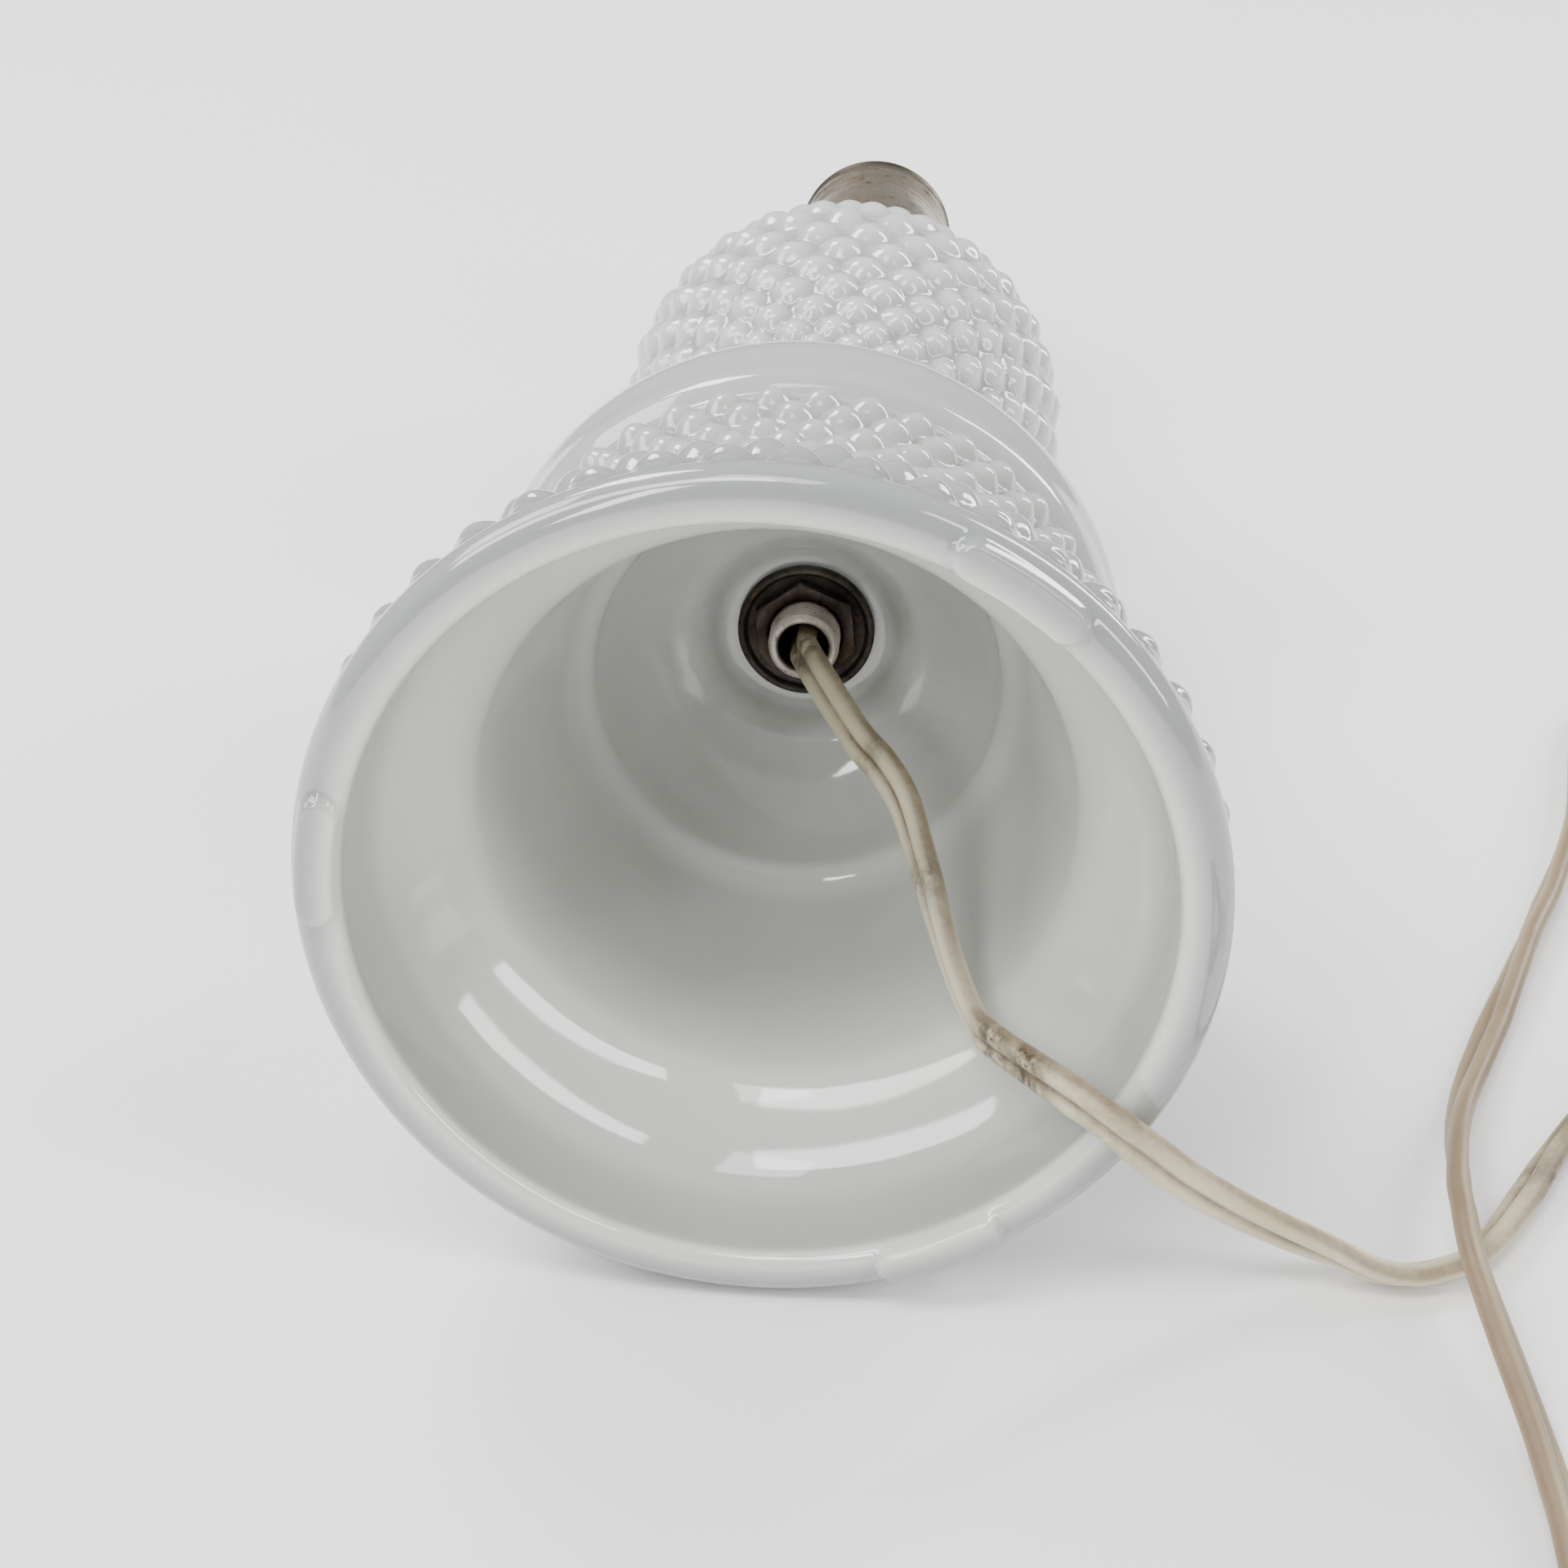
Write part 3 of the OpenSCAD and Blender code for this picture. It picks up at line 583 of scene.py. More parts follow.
# Distance from the cord's end, width, height and power of each section
PLUG_SHAPE = [
    (0.0, 5.6, 3.6, 2.2), (0.15, 6.6, 4.8, 2.3), (1.5, 7.0, 5.2, 2.4), (1.9, 6.2, 4.4, 2.4),
    (2.6, 6.3, 4.5, 2.4), (3.0, 7.4, 5.6, 2.5), (4.2, 7.8, 6.0, 2.6), (4.6, 7.0, 5.2, 2.6),
    (5.2, 7.3, 5.5, 2.6), (5.8, 9.2, 6.6, 2.8), (8.0, 13.5, 8.0, 3.0), (10.5, 17.5, 9.2, 3.4),
    (13.0, 19.3, 10.2, 3.8), (16.0, 19.8, 10.8, 4.2), (16.8, 19.4, 10.3, 4.2), (17.6, 19.8, 10.8, 4.2),
    (18.4, 19.4, 10.3, 4.2), (19.2, 19.8, 10.8, 4.2), (20.0, 19.4, 10.3, 4.2), (20.8, 19.8, 10.8, 4.2),
    (24.8, 19.8, 10.8, 4.4), (25.7, 19.2, 10.2, 4.4), (26.0, 18.0, 9.0, 4.2), (26.0, 9.0, 4.5, 3.0),
]  # fmt: skip
for y, w, h, power in PLUG_SHAPE:
    s = plug_section(w, h, power)
    plug_rows.append(np.stack([PLUG_X + s[:, 0], np.full(PLUG_COLS, PLUG_Y + y), PLUG_Z + s[:, 1]], 1))
plug_rows = np.array(plug_rows)
n_rows = len(plug_rows)
zeros = np.zeros((n_rows, PLUG_COLS))
plug = piece(
    "plug_body_moulded",
    plug_rows.reshape(-1, 3),
    ring_faces(n_rows, PLUG_COLS) + end_faces(n_rows, PLUG_COLS),
    PLUG_VINYL,
    "lamp",
    ["plug_body"],
    {"groove": zeros, "stain": zeros},
)
outward(plug)
sharpen(plug, 50)

# A strap round the coil's bundle: half width, half height, and the bundle's radius and height
TIE_AT, TIE_W = math.radians(-100), 4.2
TIE_HALF_W, TIE_HALF_H = 6.4 - 0.35, 4.55
BUNDLE_R, BUNDLE_Z = 29.0, 5.55
TIE_COLS, TIE_POWER = 48, 3.4
TIE_LAYERS = [
    (-TIE_W / 2, 0.0), (-TIE_W / 2, 0.55), (-TIE_W / 2 + 0.3, 0.75), (TIE_W / 2 - 0.3, 0.75), (TIE_W / 2, 0.55),
    (TIE_W / 2, 0.0),
]  # fmt: skip
tie_pts, tie_loop = [], []
for k in range(TIE_COLS):
    a = k * 2 * math.pi / TIE_COLS
    c, s = math.cos(a), math.sin(a)
    e = 2 / TIE_POWER
    tie_loop.append((math.copysign(abs(c) ** e, c), math.copysign(abs(s) ** e, s)))
radial = np.array([math.cos(TIE_AT), math.sin(TIE_AT), 0])
along = np.array([-math.sin(TIE_AT), math.cos(TIE_AT), 0])
tie_centre = np.array([COIL_AT[0], COIL_AT[1], BUNDLE_Z]) + radial * BUNDLE_R
for w, grow in TIE_LAYERS:
    for c, s in tie_loop:
        beside, above = radial * c * (TIE_HALF_W + grow), np.array([0, 0, 1]) * s * (TIE_HALF_H + grow)
        tie_pts.append(tie_centre + along * w + beside + above)
tie = piece(
    "coil_tie_strap",
    tie_pts,
    ring_faces(len(TIE_LAYERS), TIE_COLS, closed=True),
    TIE_PLASTIC,
    "lamp",
    ["coil_tie"],
)
outward(tie)
sharpen(tie, 40)


# The same flat cord inside the pipe, from its mouth up to where the leads part
INNER_TOP_Z, INNER_ROWS = 242.0, 60
UNTWIST_OVER = 150
inner_z = np.linspace(PIPE_Z0, INNER_TOP_Z, INNER_ROWS)
inner_line = lay(np.zeros(INNER_ROWS), np.zeros(INNER_ROWS), inner_z)
heading = -AXIS
inner_flat = np.cross(heading, [0, 0, 1.0])
inner_flat /= np.linalg.norm(inner_flat)
inner_over = np.cross(inner_flat, heading)
inner_turn = twist[0] * np.clip(1 - (inner_z - PIPE_Z0) / UNTWIST_OVER, 0, 1)
inner_cord = piece(
    "cord_in_pipe_twin",
    swept(inner_line, inner_flat, inner_over, inner_turn).reshape(-1, 3),
    ring_faces(INNER_ROWS, cols) + end_faces(INNER_ROWS, cols),
    CORD_VINYL,
    "lamp",
    ["cord_in_pipe"],
    {
        "groove": np.broadcast_to(groove, (INNER_ROWS, cols)),
        # Stained dark all along: painted shade, as this cord lies inside the pipe
        "stain": np.full((INNER_ROWS, cols), 0.6),
        "handled": np.ones((INNER_ROWS, cols)),
    },
)
outward(inner_cord)


# ---------------------------------------------------------------- hobnail glass
NUB_POWER = 1.25
# A row's crevices reach this many hobnail widths to either side of it
ROW_REACH = 1.3
# Dust and painted shade lie where the surface is below this share of the tallest hobnail, by this power
DUST_SHADE_BELOW, DUST_SHADE_POWER = 0.8, 1.3


def hobnails(profile, cols, rows_of_nubs):
    """Radius, height and crevice depth of a profile with rows of domes raised along its normal.

    Each row gives its height on the axis, its count, its phase, and a hobnail's width and rise.
    """
    p = np.asarray(profile, float)
    s = np.concatenate([[0], np.cumsum(np.linalg.norm(np.diff(p, axis=0), axis=1))])
    d = np.gradient(p, s, axis=0)
    d /= np.linalg.norm(d, axis=1)[:, None]
    normal = np.stack([d[:, 1], -d[:, 0]], 1)
    a = np.arange(cols) * 2 * math.pi / cols
    height = np.zeros((len(p), cols))
    inside = np.zeros((len(p), cols))
    for z_row, count, phase, width, tall in rows_of_nubs:
        j = np.abs(p[:, 1] - z_row).argmin()
        pitch = 2 * math.pi / count
        off = (a - phase * pitch + pitch / 2) % pitch - pitch / 2
        near = np.hypot(off[None, :] * p[:, :1], (s - s[j])[:, None])
        dome = tall * np.clip(1 - (near / width) ** 2, 0, 1) ** NUB_POWER
        height = np.maximum(height, dome)
        before = smooth_step((s - s[j] + ROW_REACH * width)[:, None] / width)
        after = smooth_step((s[j] - s + ROW_REACH * width)[:, None] / width)
        inside = np.maximum(inside, before * after)
    r = p[:, :1] + normal[:, :1] * height
    z = p[:, 1:] + normal[:, 1:] * height
    tallest = max(n[4] for n in rows_of_nubs)
    # Painted shade, with dust, in the crevices between the hobnails
    crevice = inside * np.clip(1 - height / (DUST_SHADE_BELOW * tallest), 0, 1) ** DUST_SHADE_POWER
    return r, z, crevice


# How much dust and painted shade the inner skin takes in the recess, and how it and the lip's painted shade fade in,
# in mm
INNER_DUST_SHADE, DUST_SHADE_FADE = 0.22, 9.0
LIP_SHADE, LIP_SHADE_TOP, LIP_FADE = 0.75, 24.0, 22.0


def two_skins(name, outer, inner, coarse, mat, replaces, edge_r, dust_shade_z, shape=None):
    """Joins a fine outer skin to a coarser inner one, with wide faces where they meet.

    outer is what hobnails gives, inner a profile, coarse its number of columns. The crevice
    attribute adds dust and painted shade to the inner skin above the height it is given. The
    outside attribute, painted shade, is full on the outer skin beyond edge_r, and fades in on the inner one towards
    the lip.
    """
    outer_r, outer_z, crevice = outer
    rows, cols = outer_r.shape
    a = np.arange(cols) * 2 * math.pi / cols
    if shape is not None:
        outer_r, outer_z = shape(outer_r, outer_z, a)
    pts = lay(outer_r * np.sin(a), outer_r * np.cos(a), outer_z).reshape(-1, 3)
    b = a[:: cols // coarse]
    r, z = np.repeat(inner[:, :1], coarse, 1), np.repeat(inner[:, 1:], coarse, 1)
    more = lay(r * np.sin(b), r * np.cos(b), z).reshape(-1, 3)
    base = len(pts)
    end = base + (len(inner) - 1) * coarse
    faces = ring_faces(rows, cols)
    faces += ring_faces(len(inner), coarse, start=base)
    faces += seam_faces((rows - 1) * cols, cols, base, coarse)
    faces += [face[::-1] for face in seam_faces(0, cols, end, coarse)]
    # Painted shade, with dust, on the inner skin in the recess round the washer
    recess_dust_shade = INNER_DUST_SHADE * smooth_step((z - dust_shade_z) / DUST_SHADE_FADE).ravel()
    # Painted shade: the inner wall takes the skin's darker tone towards the lip
    lip_shade = LIP_SHADE * smooth_step((LIP_SHADE_TOP - z) / LIP_FADE).ravel()
    # Painted shade: the outer skin takes a darker tone, less of it higher up
    skin = smooth_step((outer_r - edge_r) / 4.0 + np.maximum(outer_z, 0.0) / 8.0)
    skin = skin * (1 - 0.35 * smooth_step(outer_z / 40.0))
    layers = {
        "crevice": np.concatenate([crevice.ravel(), recess_dust_shade]),
        "outside": np.concatenate([skin.ravel(), lip_shade]),
    }
    obj = piece(name, np.concatenate([pts, more]), faces, mat, "lamp", replaces, layers)
    outward(obj)
    return obj


# Middle and half length of each pad, in degrees round the lip
PADS = [(33.5, 9.5), (153.0, 9.5), (-83.5, 9.5)]
PAD_R, PAD_HALF_W, PAD_H = 48.0, 2.25, 1.2
PAD_EDGE = 0.55
LIP_FACE_Z, LIP_FACE_R = 1.6, 44.9


def with_pads(r, z, a):
    """Raises the three rest pads on the lip's face."""
    on_face = (z < LIP_FACE_Z) & (r > LIP_FACE_R)
    for middle, half in PADS:
        off = (np.degrees(a)[None, :] - middle + 180) % 360 - 180
        arc = np.abs(np.radians(off)) * PAD_R
        beyond = np.maximum(arc - (math.radians(half) * PAD_R - PAD_HALF_W), 0)
        d = np.hypot(beyond, r - PAD_R)
        m = np.sin(np.clip((PAD_HALF_W + 0.1 - d) / PAD_EDGE, 0, 1) * math.pi / 2) * on_face
        z = z * (1 - m) - PAD_H * m
    return r, z


foot_outer = [(45.55, 1.05), (45.8, 0.55), (46.3, 0.15), (46.9, 0.0), (48.2, 0.0)]
foot_outer += bow(48.2, 3, 3, 3, -90, 25, 14)[1:]
foot_outer += [(50.7, 4.9), (49.9, 5.6), (49.5, 7.2), (49.0, 10.2), (47.9, 13.4), (46.1, 17), (44.5, 20.2)]
foot_outer += [(42.8, 26.4), (41.4, 32.6), (40.4, 38.8), (39.9, 44.7), (39.8, 51), (39.8, 57), (39.7, 60.2)]
foot_outer += [(39.8, 61.0), (40.7, 61.9), (41.8, 63.6)]
foot_outer += bow(17, 71, 25.8, 17, -12, 90, 30)
# The first points, round the lip, are spaced more finely
LIP_POINTS, LIP_STEP, FOOT_STEP = 20, 0.34, 0.56
fine_lip = spaced(rounded(foot_outer[:LIP_POINTS], 1), LIP_STEP)
outside = spaced(rounded(foot_outer[LIP_POINTS - 1 :], 1), FOOT_STEP)
outer = np.concatenate([fine_lip, outside[1:]])
FOOT_NUBS = [
    (7.3, 45, 0.5, 3.6, 2.1), (13.4, 45, 0.0, 3.7, 2.3), (20.2, 45, 0.5, 3.5, 2.2),
    (26.4, 42, 0.0, 3.3, 2.0), (32.6, 42, 0.5, 3.1, 2.0), (38.8, 42, 0.0, 3.1, 2.0),
    (44.7, 42, 0.5, 3.1, 2.0), (51.0, 42, 0.0, 3.1, 2.0), (57.0, 42, 0.5, 3.0, 1.95),
]  # fmt: skip
FOOT_COLS, FOOT_INNER_COLS = 504, 168
WALL_R, MOUTH_FLARE, MOUTH_Z0, MOUTH_Z1 = 35.3, 10.0, 10.5, 27.0
foot_inner = [(17, 88), (5.4, 88), (5.4, 79.6), (10.8, 79.6), (12.2, 79.0), (13.4, 77.2), (14.8, 75.9)]
foot_inner += bow(13.2, 60.2, 13.6, 15.2, 80, 2, 18)
foot_inner += [(27.6, 59.4), (29.2, 58.4), (30.6, 55.5)]
for h in np.linspace(26.0, 1.9, 34):
    drawn_in = smooth_turn((h - MOUTH_Z0) / (MOUTH_Z1 - MOUTH_Z0))
    foot_inner.append((WALL_R + MOUTH_FLARE * (1 - drawn_in), h))
two_skins(
    "foot_hobnail_glass",
    hobnails(outer, FOOT_COLS, FOOT_NUBS),
    spaced(rounded(foot_inner, 2), 0.8),
    FOOT_INNER_COLS,
    FOOT_GLASS,
    ["bell_base"],
    edge_r=45.4,
    dust_shade_z=66.0,
    shape=with_pads,
)

BALL_MID, BALL_R, BALL_LONG = 168.0, 35.6, 46.1
ball_outer = [(5.4, 94.0), (14.7, 94.0), (15.4, 94.9), (15.4, 96.9), (14.6, 98.0)]
ball_outer += bow(15.2, 105.9, 3.5, 8.6, 250, 180, 8)
ball_outer += bow(18.6, 110, 6.9, 14.4, 180, 128, 8)[1:]
ball_outer += bow(0, BALL_MID, BALL_R, BALL_LONG, -62, 0, 40)
ball_outer += bow(0, BALL_MID, BALL_R, BALL_R, 1.5, 68, 44)
ball_outer += [(12.5, 202.5), (12.2, 206), (12.4, 218.2), (12.0, 219.0)]
BALL_ROWS_Z = [
    128.2, 129.7, 131.5, 133.7, 136.3, 139.7, 143.8, 148.5, 153.8, 159.7, 166.7, 173.0, 179.1, 184.6,
    189.4, 193.4, 196.7,
]  # fmt: skip
# The rows below the lowest one are too small to be made
BALL_LOWEST = 131
BALL_NUBS, BALL_NUB_W, BALL_NUB_H = 26, 3.95, 1.8
ball_nubs = []
for k, row_z in enumerate(BALL_ROWS_Z):
    if row_z < BALL_LOWEST:
        continue
    long = BALL_LONG if row_z < BALL_MID else BALL_R
    size = math.sqrt(1 - ((row_z - BALL_MID) / long) ** 2)
    phase = 0.0 if k % 2 == 0 else 0.5
    ball_nubs.append((row_z, BALL_NUBS, phase, BALL_NUB_W * size, BALL_NUB_H * size**0.6))
BALL_COLS, BALL_INNER_COLS = 364, 182
ball_inner = [(9.5, 219.0), (9.5, 204)]
ball_inner += bow(0, BALL_MID, 31, 31, 68, 5, 16)
ball_inner += bow(0, BALL_MID, 31, 41.5, 0, -72, 18)
ball_inner += [(5.4, 127.5), (5.4, 96)]
NO_DUST_SHADE = 1000.0
two_skins(
    "ball_hobnail_glass",
    hobnails(spaced(rounded(ball_outer, 1), 0.6), BALL_COLS, ball_nubs),
    spaced(rounded(ball_inner, 1), 2.0),
    BALL_INNER_COLS,
    BALL_GLASS,
    ["ball_body"],
    edge_r=5.0,
    dust_shade_z=NO_DUST_SHADE,
)

# ---------------------------------------------------------------- pipe, washer and nut
PIPE_R, BORE_R, PITCH = 4.85, 3.4, 0.94
# Points within the first radius are in the bore, points beyond the second on the thread
IN_BORE_R, CREST_R = 3.5, PIPE_R - 0.05
THREAD_DEEP = 0.42
levels = np.arange(PIPE_Z0 + 0.5, PIPE_Z1 - 0.5, PITCH / 4)
thread = [(BORE_R, PIPE_Z0 + 0.5), (BORE_R + 0.35, PIPE_Z0), (PIPE_R - 0.5, PIPE_Z0), (PIPE_R - 0.2, PIPE_Z0 + 0.25)]
thread += [(PIPE_R, v) for v in levels] + [(PIPE_R - 0.4, PIPE_Z1), (BORE_R + 0.2, PIPE_Z1), (BORE_R, PIPE_Z1 - 0.5)]


def thread_depth(z, a):
    """Depth into the pipe's thread, from 0 at a crest to 1 at a root."""
    return (1 - np.cos(z / PITCH * 2 * math.pi - a)) / 2


def cut_thread(r, z, a):
    """Cuts the fine thread into the pipe's outside, a little worn towards its mouth."""
    groove_cut = THREAD_DEEP * thread_depth(z, a)
    body = (r > CREST_R).astype(float)
    worn = 0.85 + 0.15 * smooth_step((z - PIPE_Z0 - 1.0) / 5.0)
    return r - groove_cut * body * worn, z


def pipe_shade_and_grime(r, z, a):
    """Painted shade: black in the bore, and darker in the roots of the thread, with grime."""
    return np.maximum(r < IN_BORE_R, 0.5 * thread_depth(z, a) * (r > CREST_R))


lathe(
    "lamp_pipe_threaded",
    thread,
    48,
    PIPE_METAL,
    ["lamp_pipe"],
    turn=cut_thread,
    sharp=60,
    marks={"soot_and_shade": pipe_shade_and_grime},
)
washer = [
    (4.95, 79.0), (8.0, 79.0), (8.25, 78.85), (8.45, 78.35), (8.75, 78.15), (9.2, 78.2), (9.4, 78.45),
    (9.4, 79.5), (9.3, 79.6), (4.95, 79.6),
]  # fmt: skip
lathe("washer_dished", washer, 128, DARK_STEEL, ["bottom_washer"], sharp=50)


def hexagon(flats, turn_deg, chamfer_r):
    """Radius of a hexagon across given flats, cut by the round chamfer on its faces."""

    def shape(r, z, a):
        local = (np.degrees(a) - turn_deg + 30) % 60 - 30
        edge = flats / 2 / np.cos(np.radians(30 - np.abs(local)))
        full = r > chamfer_r - 0.01
        return np.where(full, np.minimum(edge, r), r), z

    return shape


nut = [
    (4.95, 77.5), (5.3, 77.2), (6.55, 77.2), (6.9, 77.24), (7.25, 77.4), (7.62, 77.62), (7.62, 78.3),
    (7.62, 79.0), (4.95, 79.0),
]  # fmt: skip
lathe(
    "nut_thin_hex",
    nut,
    144,
    DARK_STEEL,
    ["bottom_nut"],
    turn=hexagon(13.2, 54.0, 6.55),
    sharp=28,
    # Darker towards its hole, next to the pipe
    marks={"soot_and_shade": lambda r, z, a: 0.9 * (1 - smooth_step((r - 5.6) / 1.2))},
)
lock = [(4.95, 220.4), (8.25, 220.3), (8.25, 223.2), (7.4, 223.7), (7.0, 223.8), (4.95, 223.8)]
lock_hex = hexagon(14.3, 42.0, 7.0)
lathe("lock_nut_hex", lock, 144, CAP_METAL, ["lock_nut"], turn=lock_hex, sharp=28)

# ---------------------------------------------------------------- waist ring, vase cap and socket
waist = [(4.95, 94.0), (4.95, 88.0), (15.4, 88.0), (16.2, 88.25)]
waist += bow(15.8, 89.6, 1.5, 1.1, -60, 60, 8) + [(16.0, 90.75)]
waist += bow(15.6, 91.6, 3.0, 0.95, -80, 80, 12)[1:] + [(15.7, 92.7), (15.9, 93.2), (15.5, 93.9), (14.6, 94.0)]
lathe("waist_ring_spun", waist, 160, WAIST_BRASS, ["waist_ring"], sharp=45)

cap = [
    (4.95, 219.05), (12.7, 219.05), (12.85, 218.5), (12.9, 215.1), (14.2, 214.5), (14.9, 214.25), (15.1, 214.5),
    (15.05, 214.95), (14.2, 215.5), (13.75, 216.0), (13.65, 217.6), (13.9, 218.2), (13.8, 218.9), (13.3, 219.5),
    (12.4, 220.0), (11.0, 220.2), (4.95, 220.2),
]  # fmt: skip
lathe("vase_cap_spun", cap, 160, CAP_METAL, ["vase_cap"], sharp=45)

hub_cap = [(4.95, 226.0), (6.9, 226.0), (7.2, 226.3), (7.2, 231.4)]
hub_cap += bow(7.2, 244, 9.6, 12, -84, 0, 16)
hub_cap += [(16.8, 252.2), (17.0, 252.7), (17.0, 253.3), (16.8, 253.8), (16.8, 255.8), (16.7, 256.0), (16.15, 256.0)]
hub_cap += bow(7.2, 244, 8.9, 11.3, 0, -80, 14)
hub_cap += [(4.95, 233.0)]
socket_cap = lathe("socket_cap_spun", hub_cap, 160, SOCKET_METAL, ["socket_cap"], sharp=50)
SCREW_Z, SCREW_HOLE_R = 229.0, 1.55
cut_hole(socket_cap, lay(5.6, 0.0, SCREW_Z), SIDE, SCREW_HOLE_R, 6.0)
sharpen(socket_cap, 40)

shell = [(15.5, 250.0), (16.05, 250.0), (16.1, 250.2), (16.1, 257.2), (15.85, 257.8), (15.85, 258.4), (16.1, 259.0)]
shell += [(16.1, 279.4), (15.95, 280.1), (15.6, 281.2), (15.6, 281.8), (15.95, 282.9), (16.1, 283.6)]
shell += [(16.1, 288.6), (16.35, 289.4), (16.35, 290.2), (16.1, 291.0), (16.1, 294.9), (16.3, 295.5)]
shell += bow(16.15, 296.4, 0.45, 0.6, -40, 160, 8) + [(15.5, 296.2), (15.5, 283.0), (15.2, 281.5), (15.5, 280.0)]
socket_shell = lathe(
    "socket_shell_spun",
    shell,
    192,
    SOCKET_METAL,
    ["socket_shell"],
    sharp=50,
    # Darker towards its rolled top edge
    marks={"soot_and_shade": lambda r, z, a: 0.7 * smooth_step((z - 293.6) / 2.2)},
)
# The switch's shaft: its height on the axis and its direction out of the shell
KNOB_Z, KNOB_TURN = 262.0, math.radians(235.0)
SHAFT_HOLE_R = 2.3
KNOB_DIR = math.sin(KNOB_TURN) * SIDE + math.cos(KNOB_TURN) * UP
shaft_at = lay(14.0 * math.sin(KNOB_TURN), 14.0 * math.cos(KNOB_TURN), KNOB_Z)
cut_hole(socket_shell, shaft_at, KNOB_DIR, SHAFT_HOLE_R, 12.0)
sharpen(socket_shell, 40)

screw_levels = np.linspace(272.6, 290.9, 74)
screw = [(10.8, 272.05), (13.0, 272.05)] + [(12.9, v) for v in screw_levels] + [(13.3, 291.0), (13.75, 291.0)]
screw += [(13.25, v) for v in screw_levels[::-1]] + [(13.0, 272.5), (10.8, 272.5)]
BULB_PITCH, BULB_DEEP = 3.63, 0.42


def bulb_thread(r, z, a):
    """Rolls the lamp thread into the screw shell, fading out at both ends."""
    wave = BULB_DEEP * np.cos((z - a / (2 * math.pi) * BULB_PITCH) / BULB_PITCH * 2 * math.pi)
    ends = smooth_step((z - 273.2) / 1.5) * smooth_step((290.6 - z) / 1.2)
    return r + wave * ends * (r > 12), z


lathe(
    "bulb_screw_shell",
    screw,
    96,
    THREAD_METAL,
    ["screw_shell"],
    turn=bulb_thread,
    sharp=60,
)

# ---------------------------------------------------------------- switch knob
knob_profile = [
    (1.95, 0.1), (3.9, 0.0), (4.3, 0.4), (4.4, 1.0), (4.4, 8.2), (4.15, 9.2), (3.5, 9.85), (2.6, 10.0),
    (1.85, 9.8), (1.85, 8.5), (0.3, 8.45),
]  # fmt: skip
kp = spaced(rounded(knob_profile, 1), 0.3)
KNOB_COLS, KNOB_RIBS, RIB_RISE = 192, 16, 0.28
# Beyond this radius lies the knob's outside, which carries the ribs
KNOB_SIDE_R = 3.4
# The knob's foot lies this far from the lamp's axis
KNOB_BASE = 18.6
ka = np.arange(KNOB_COLS) * 2 * math.pi / KNOB_COLS
kr = np.repeat(kp[:, :1], KNOB_COLS, 1)
kz = np.repeat(kp[:, 1:], KNOB_COLS, 1)
ribs = RIB_RISE * (0.5 + 0.5 * np.cos(KNOB_RIBS * ka)) ** 0.6
ribs = ribs * smooth_step((kz - 0.8) / 0.7) * smooth_step((8.9 - kz) / 0.7)
kr = kr + ribs * (kr > KNOB_SIDE_R) + 0.15 * (kr > KNOB_SIDE_R)
knob_side = np.cross(AXIS, KNOB_DIR)
knob_base = lay(0, 0, KNOB_Z) + KNOB_DIR * KNOB_BASE
knob_pts = (
    knob_base
    + KNOB_DIR * kz[..., None]
    + AXIS * (kr * np.cos(ka))[..., None]
    + knob_side * (kr * np.sin(ka))[..., None]
).reshape(-1, 3)
knob = piece(
    "switch_knob_ribbed",
    knob_pts,
    ring_faces(len(kp), KNOB_COLS, closed=True),
    KNOB_PLASTIC,
    "switch",
    ["switch_knob"],
)
outward(knob)
sharpen(knob, 55)

# ---------------------------------------------------------------- carried-over CAD nodes
for node, mat in {
    "set_screw": SCREW_BRASS,
    "insulating_sleeve": SLEEVE_BOARD,
    "socket_core": PHENOLIC,
    "centre_contact": SCREW_BRASS,
    "terminal_screws": SCREW_BRASS,
    "conductor_leads": CORD_VINYL,
    "switch_shaft": SCREW_BRASS,
    "plug_blades": BLADE_METAL,
}.items():
    slots = nodes[node].material_slots
    for s in slots:
        s.material = mat
    if not len(slots):
        nodes[node].data.materials.append(mat)


# ---------------------------------------------------------------- floor and light
FLOOR_HALF = 4.0


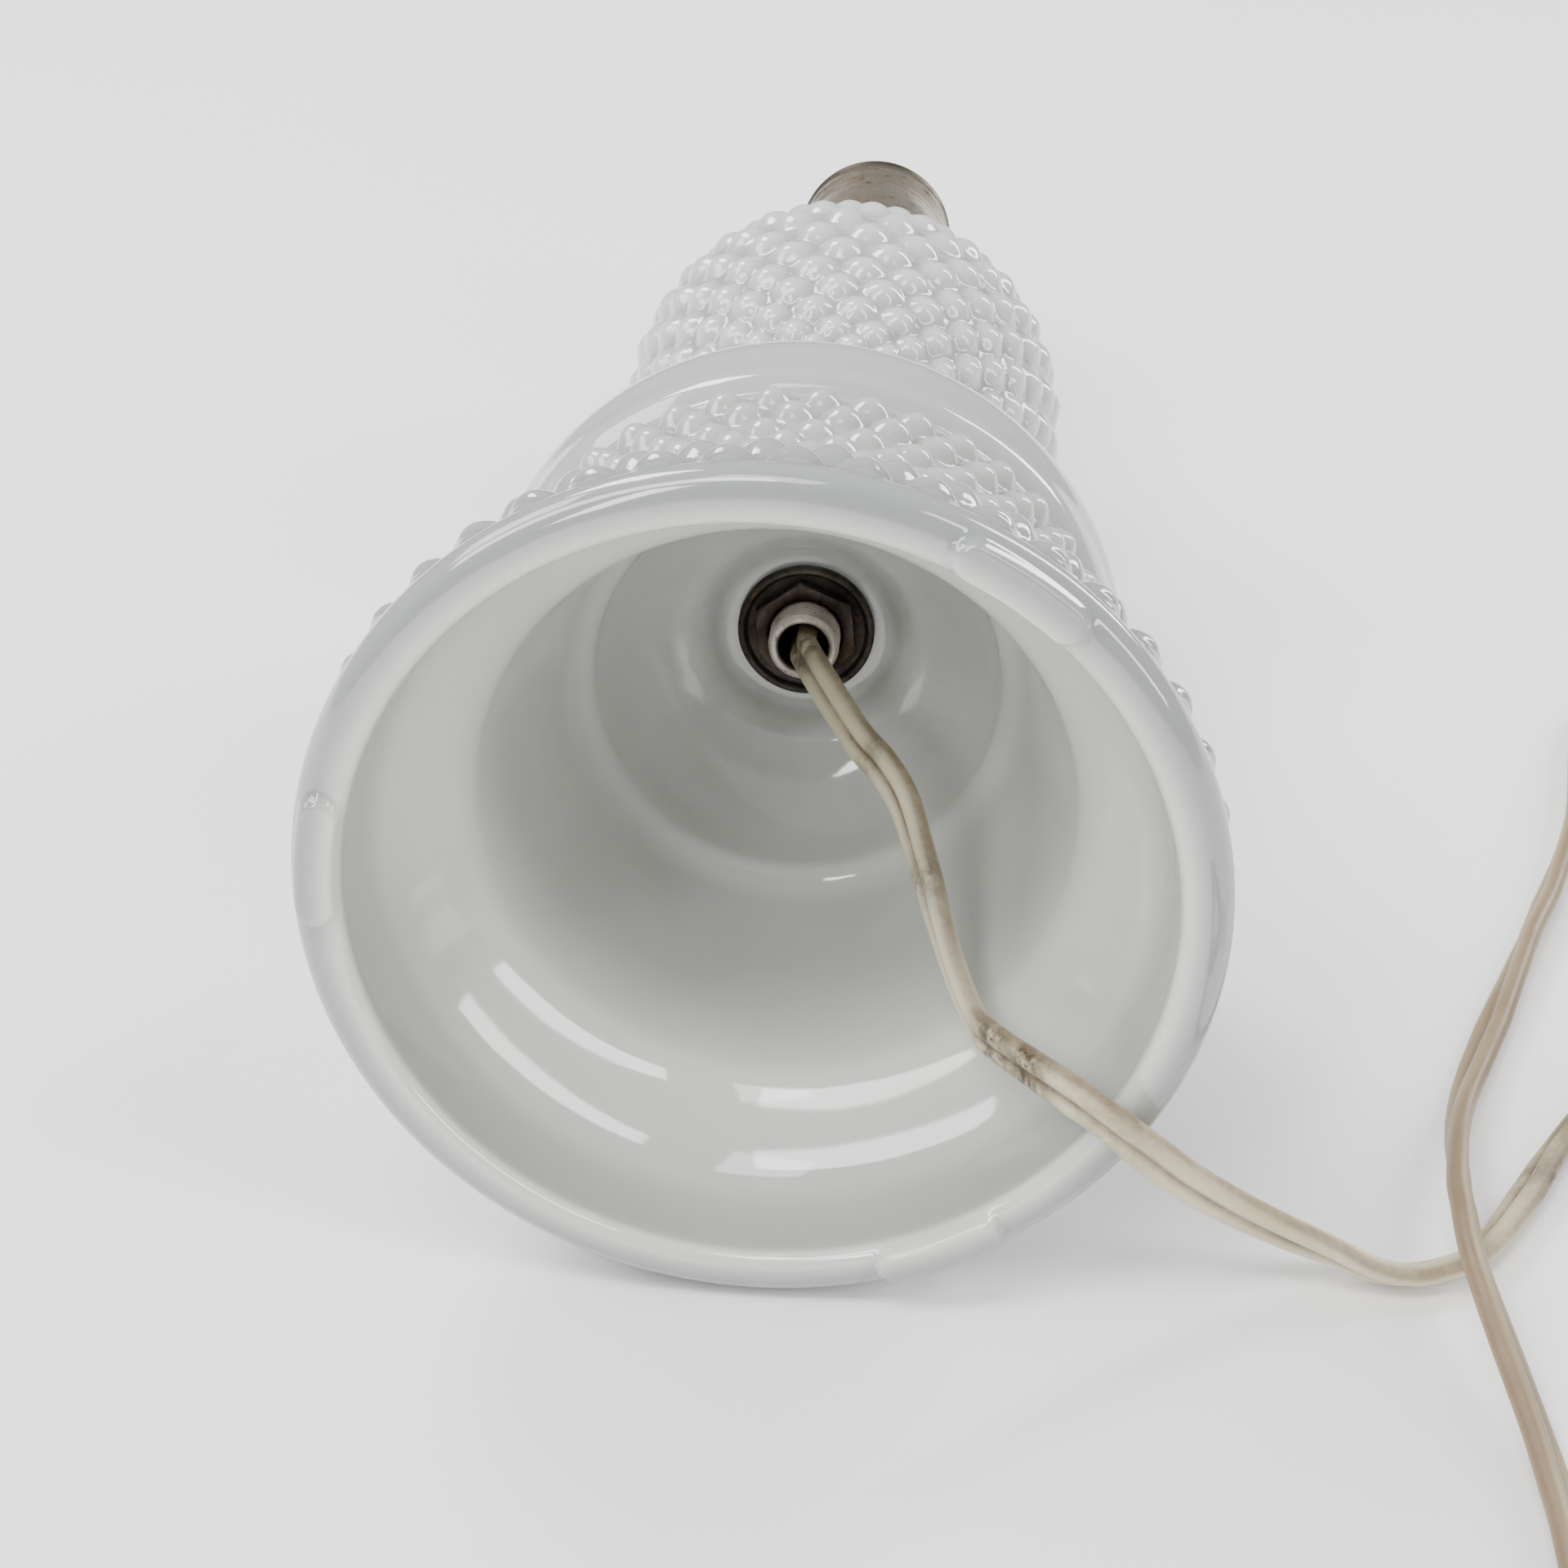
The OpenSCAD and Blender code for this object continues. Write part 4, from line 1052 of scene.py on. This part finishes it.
def floor():
    """The plain near-white floor, which stands for the painted board; it belongs to the stage."""
    mesh = bpy.data.meshes.new("floor")
    h = FLOOR_HALF
    mesh.from_pydata([(-h, -h, 0), (h, -h, 0), (h, h, 0), (-h, h, 0)], [], [(0, 1, 2, 3)])
    obj = bpy.data.objects.new("floor", mesh)
    bpy.context.scene.collection.objects.link(obj)
    m = Mat("floor_paper", rough=0.85)
    clouds = m.ramp(m.noise(3.0, 3.0, 0.5), [(0.3, 0.0), (0.7, 1.0)])
    m.color(m.mix(clouds, (0.93, 0.93, 0.93), (0.95, 0.95, 0.95)))
    mesh.materials.append(m.mat)


floor()

LIT_SPOT = (0.0, -0.05, 0.04)
NEAR, FAR = 1.7, 2.2
WORLD_COLOUR, WORLD_STRENGTH = (0.98, 0.99, 1.0, 1.0), 0.30


def lamp_light(name, azimuth, elevation, width, height, power, distance=NEAR, roll=0.0):
    """A flat soft light seen from the lamp at an azimuth, from +Y towards +X, and an elevation.

    Roll tips the light's upper end towards greater azimuths.
    """
    a, e = math.radians(azimuth), math.radians(elevation)
    way = Vector((math.sin(a) * math.cos(e), math.cos(a) * math.cos(e), math.sin(e)))
    data = bpy.data.lights.new(name, "AREA")
    data.shape = "RECTANGLE"
    data.size = width
    data.size_y = height
    data.energy = power
    obj = bpy.data.objects.new(name, data)
    obj.location = Vector(LIT_SPOT) + way * distance
    facing = (-way).to_track_quat("-Z", "Y") @ Quaternion((0, 0, 1), math.radians(roll))
    obj.rotation_euler = facing.to_euler()
    bpy.context.scene.collection.objects.link(obj)


# The mouth's S-curve mirrors each of the first two windows twice; their roll slants the arcs
lamp_light("window_right", 116, 35, 0.27, 1.62, 16.0, roll=16)
lamp_light("window_left", -124.5, 54, 0.40, 1.78, 24.0, roll=-36)
lamp_light("window_front", -153, 37, 0.24, 0.85, 10.0)
lamp_light("window_back_left", -43, 52, 0.45, 0.60, 18.0)
lamp_light("window_back_right", 49, 27, 0.26, 1.1, 20.0)
lamp_light("sky", -165, 76, 0.75, 0.75, 11.0, FAR)
lamp_light("sky_left", -80, 42, 0.9, 0.9, 20.0, FAR)

world = bpy.data.worlds.new("soft_world")
world.use_nodes = True
world.node_tree.nodes["Background"].inputs["Color"].default_value = WORLD_COLOUR
world.node_tree.nodes["Background"].inputs["Strength"].default_value = WORLD_STRENGTH
bpy.context.scene.world = world

bpy.context.view_layer.update()
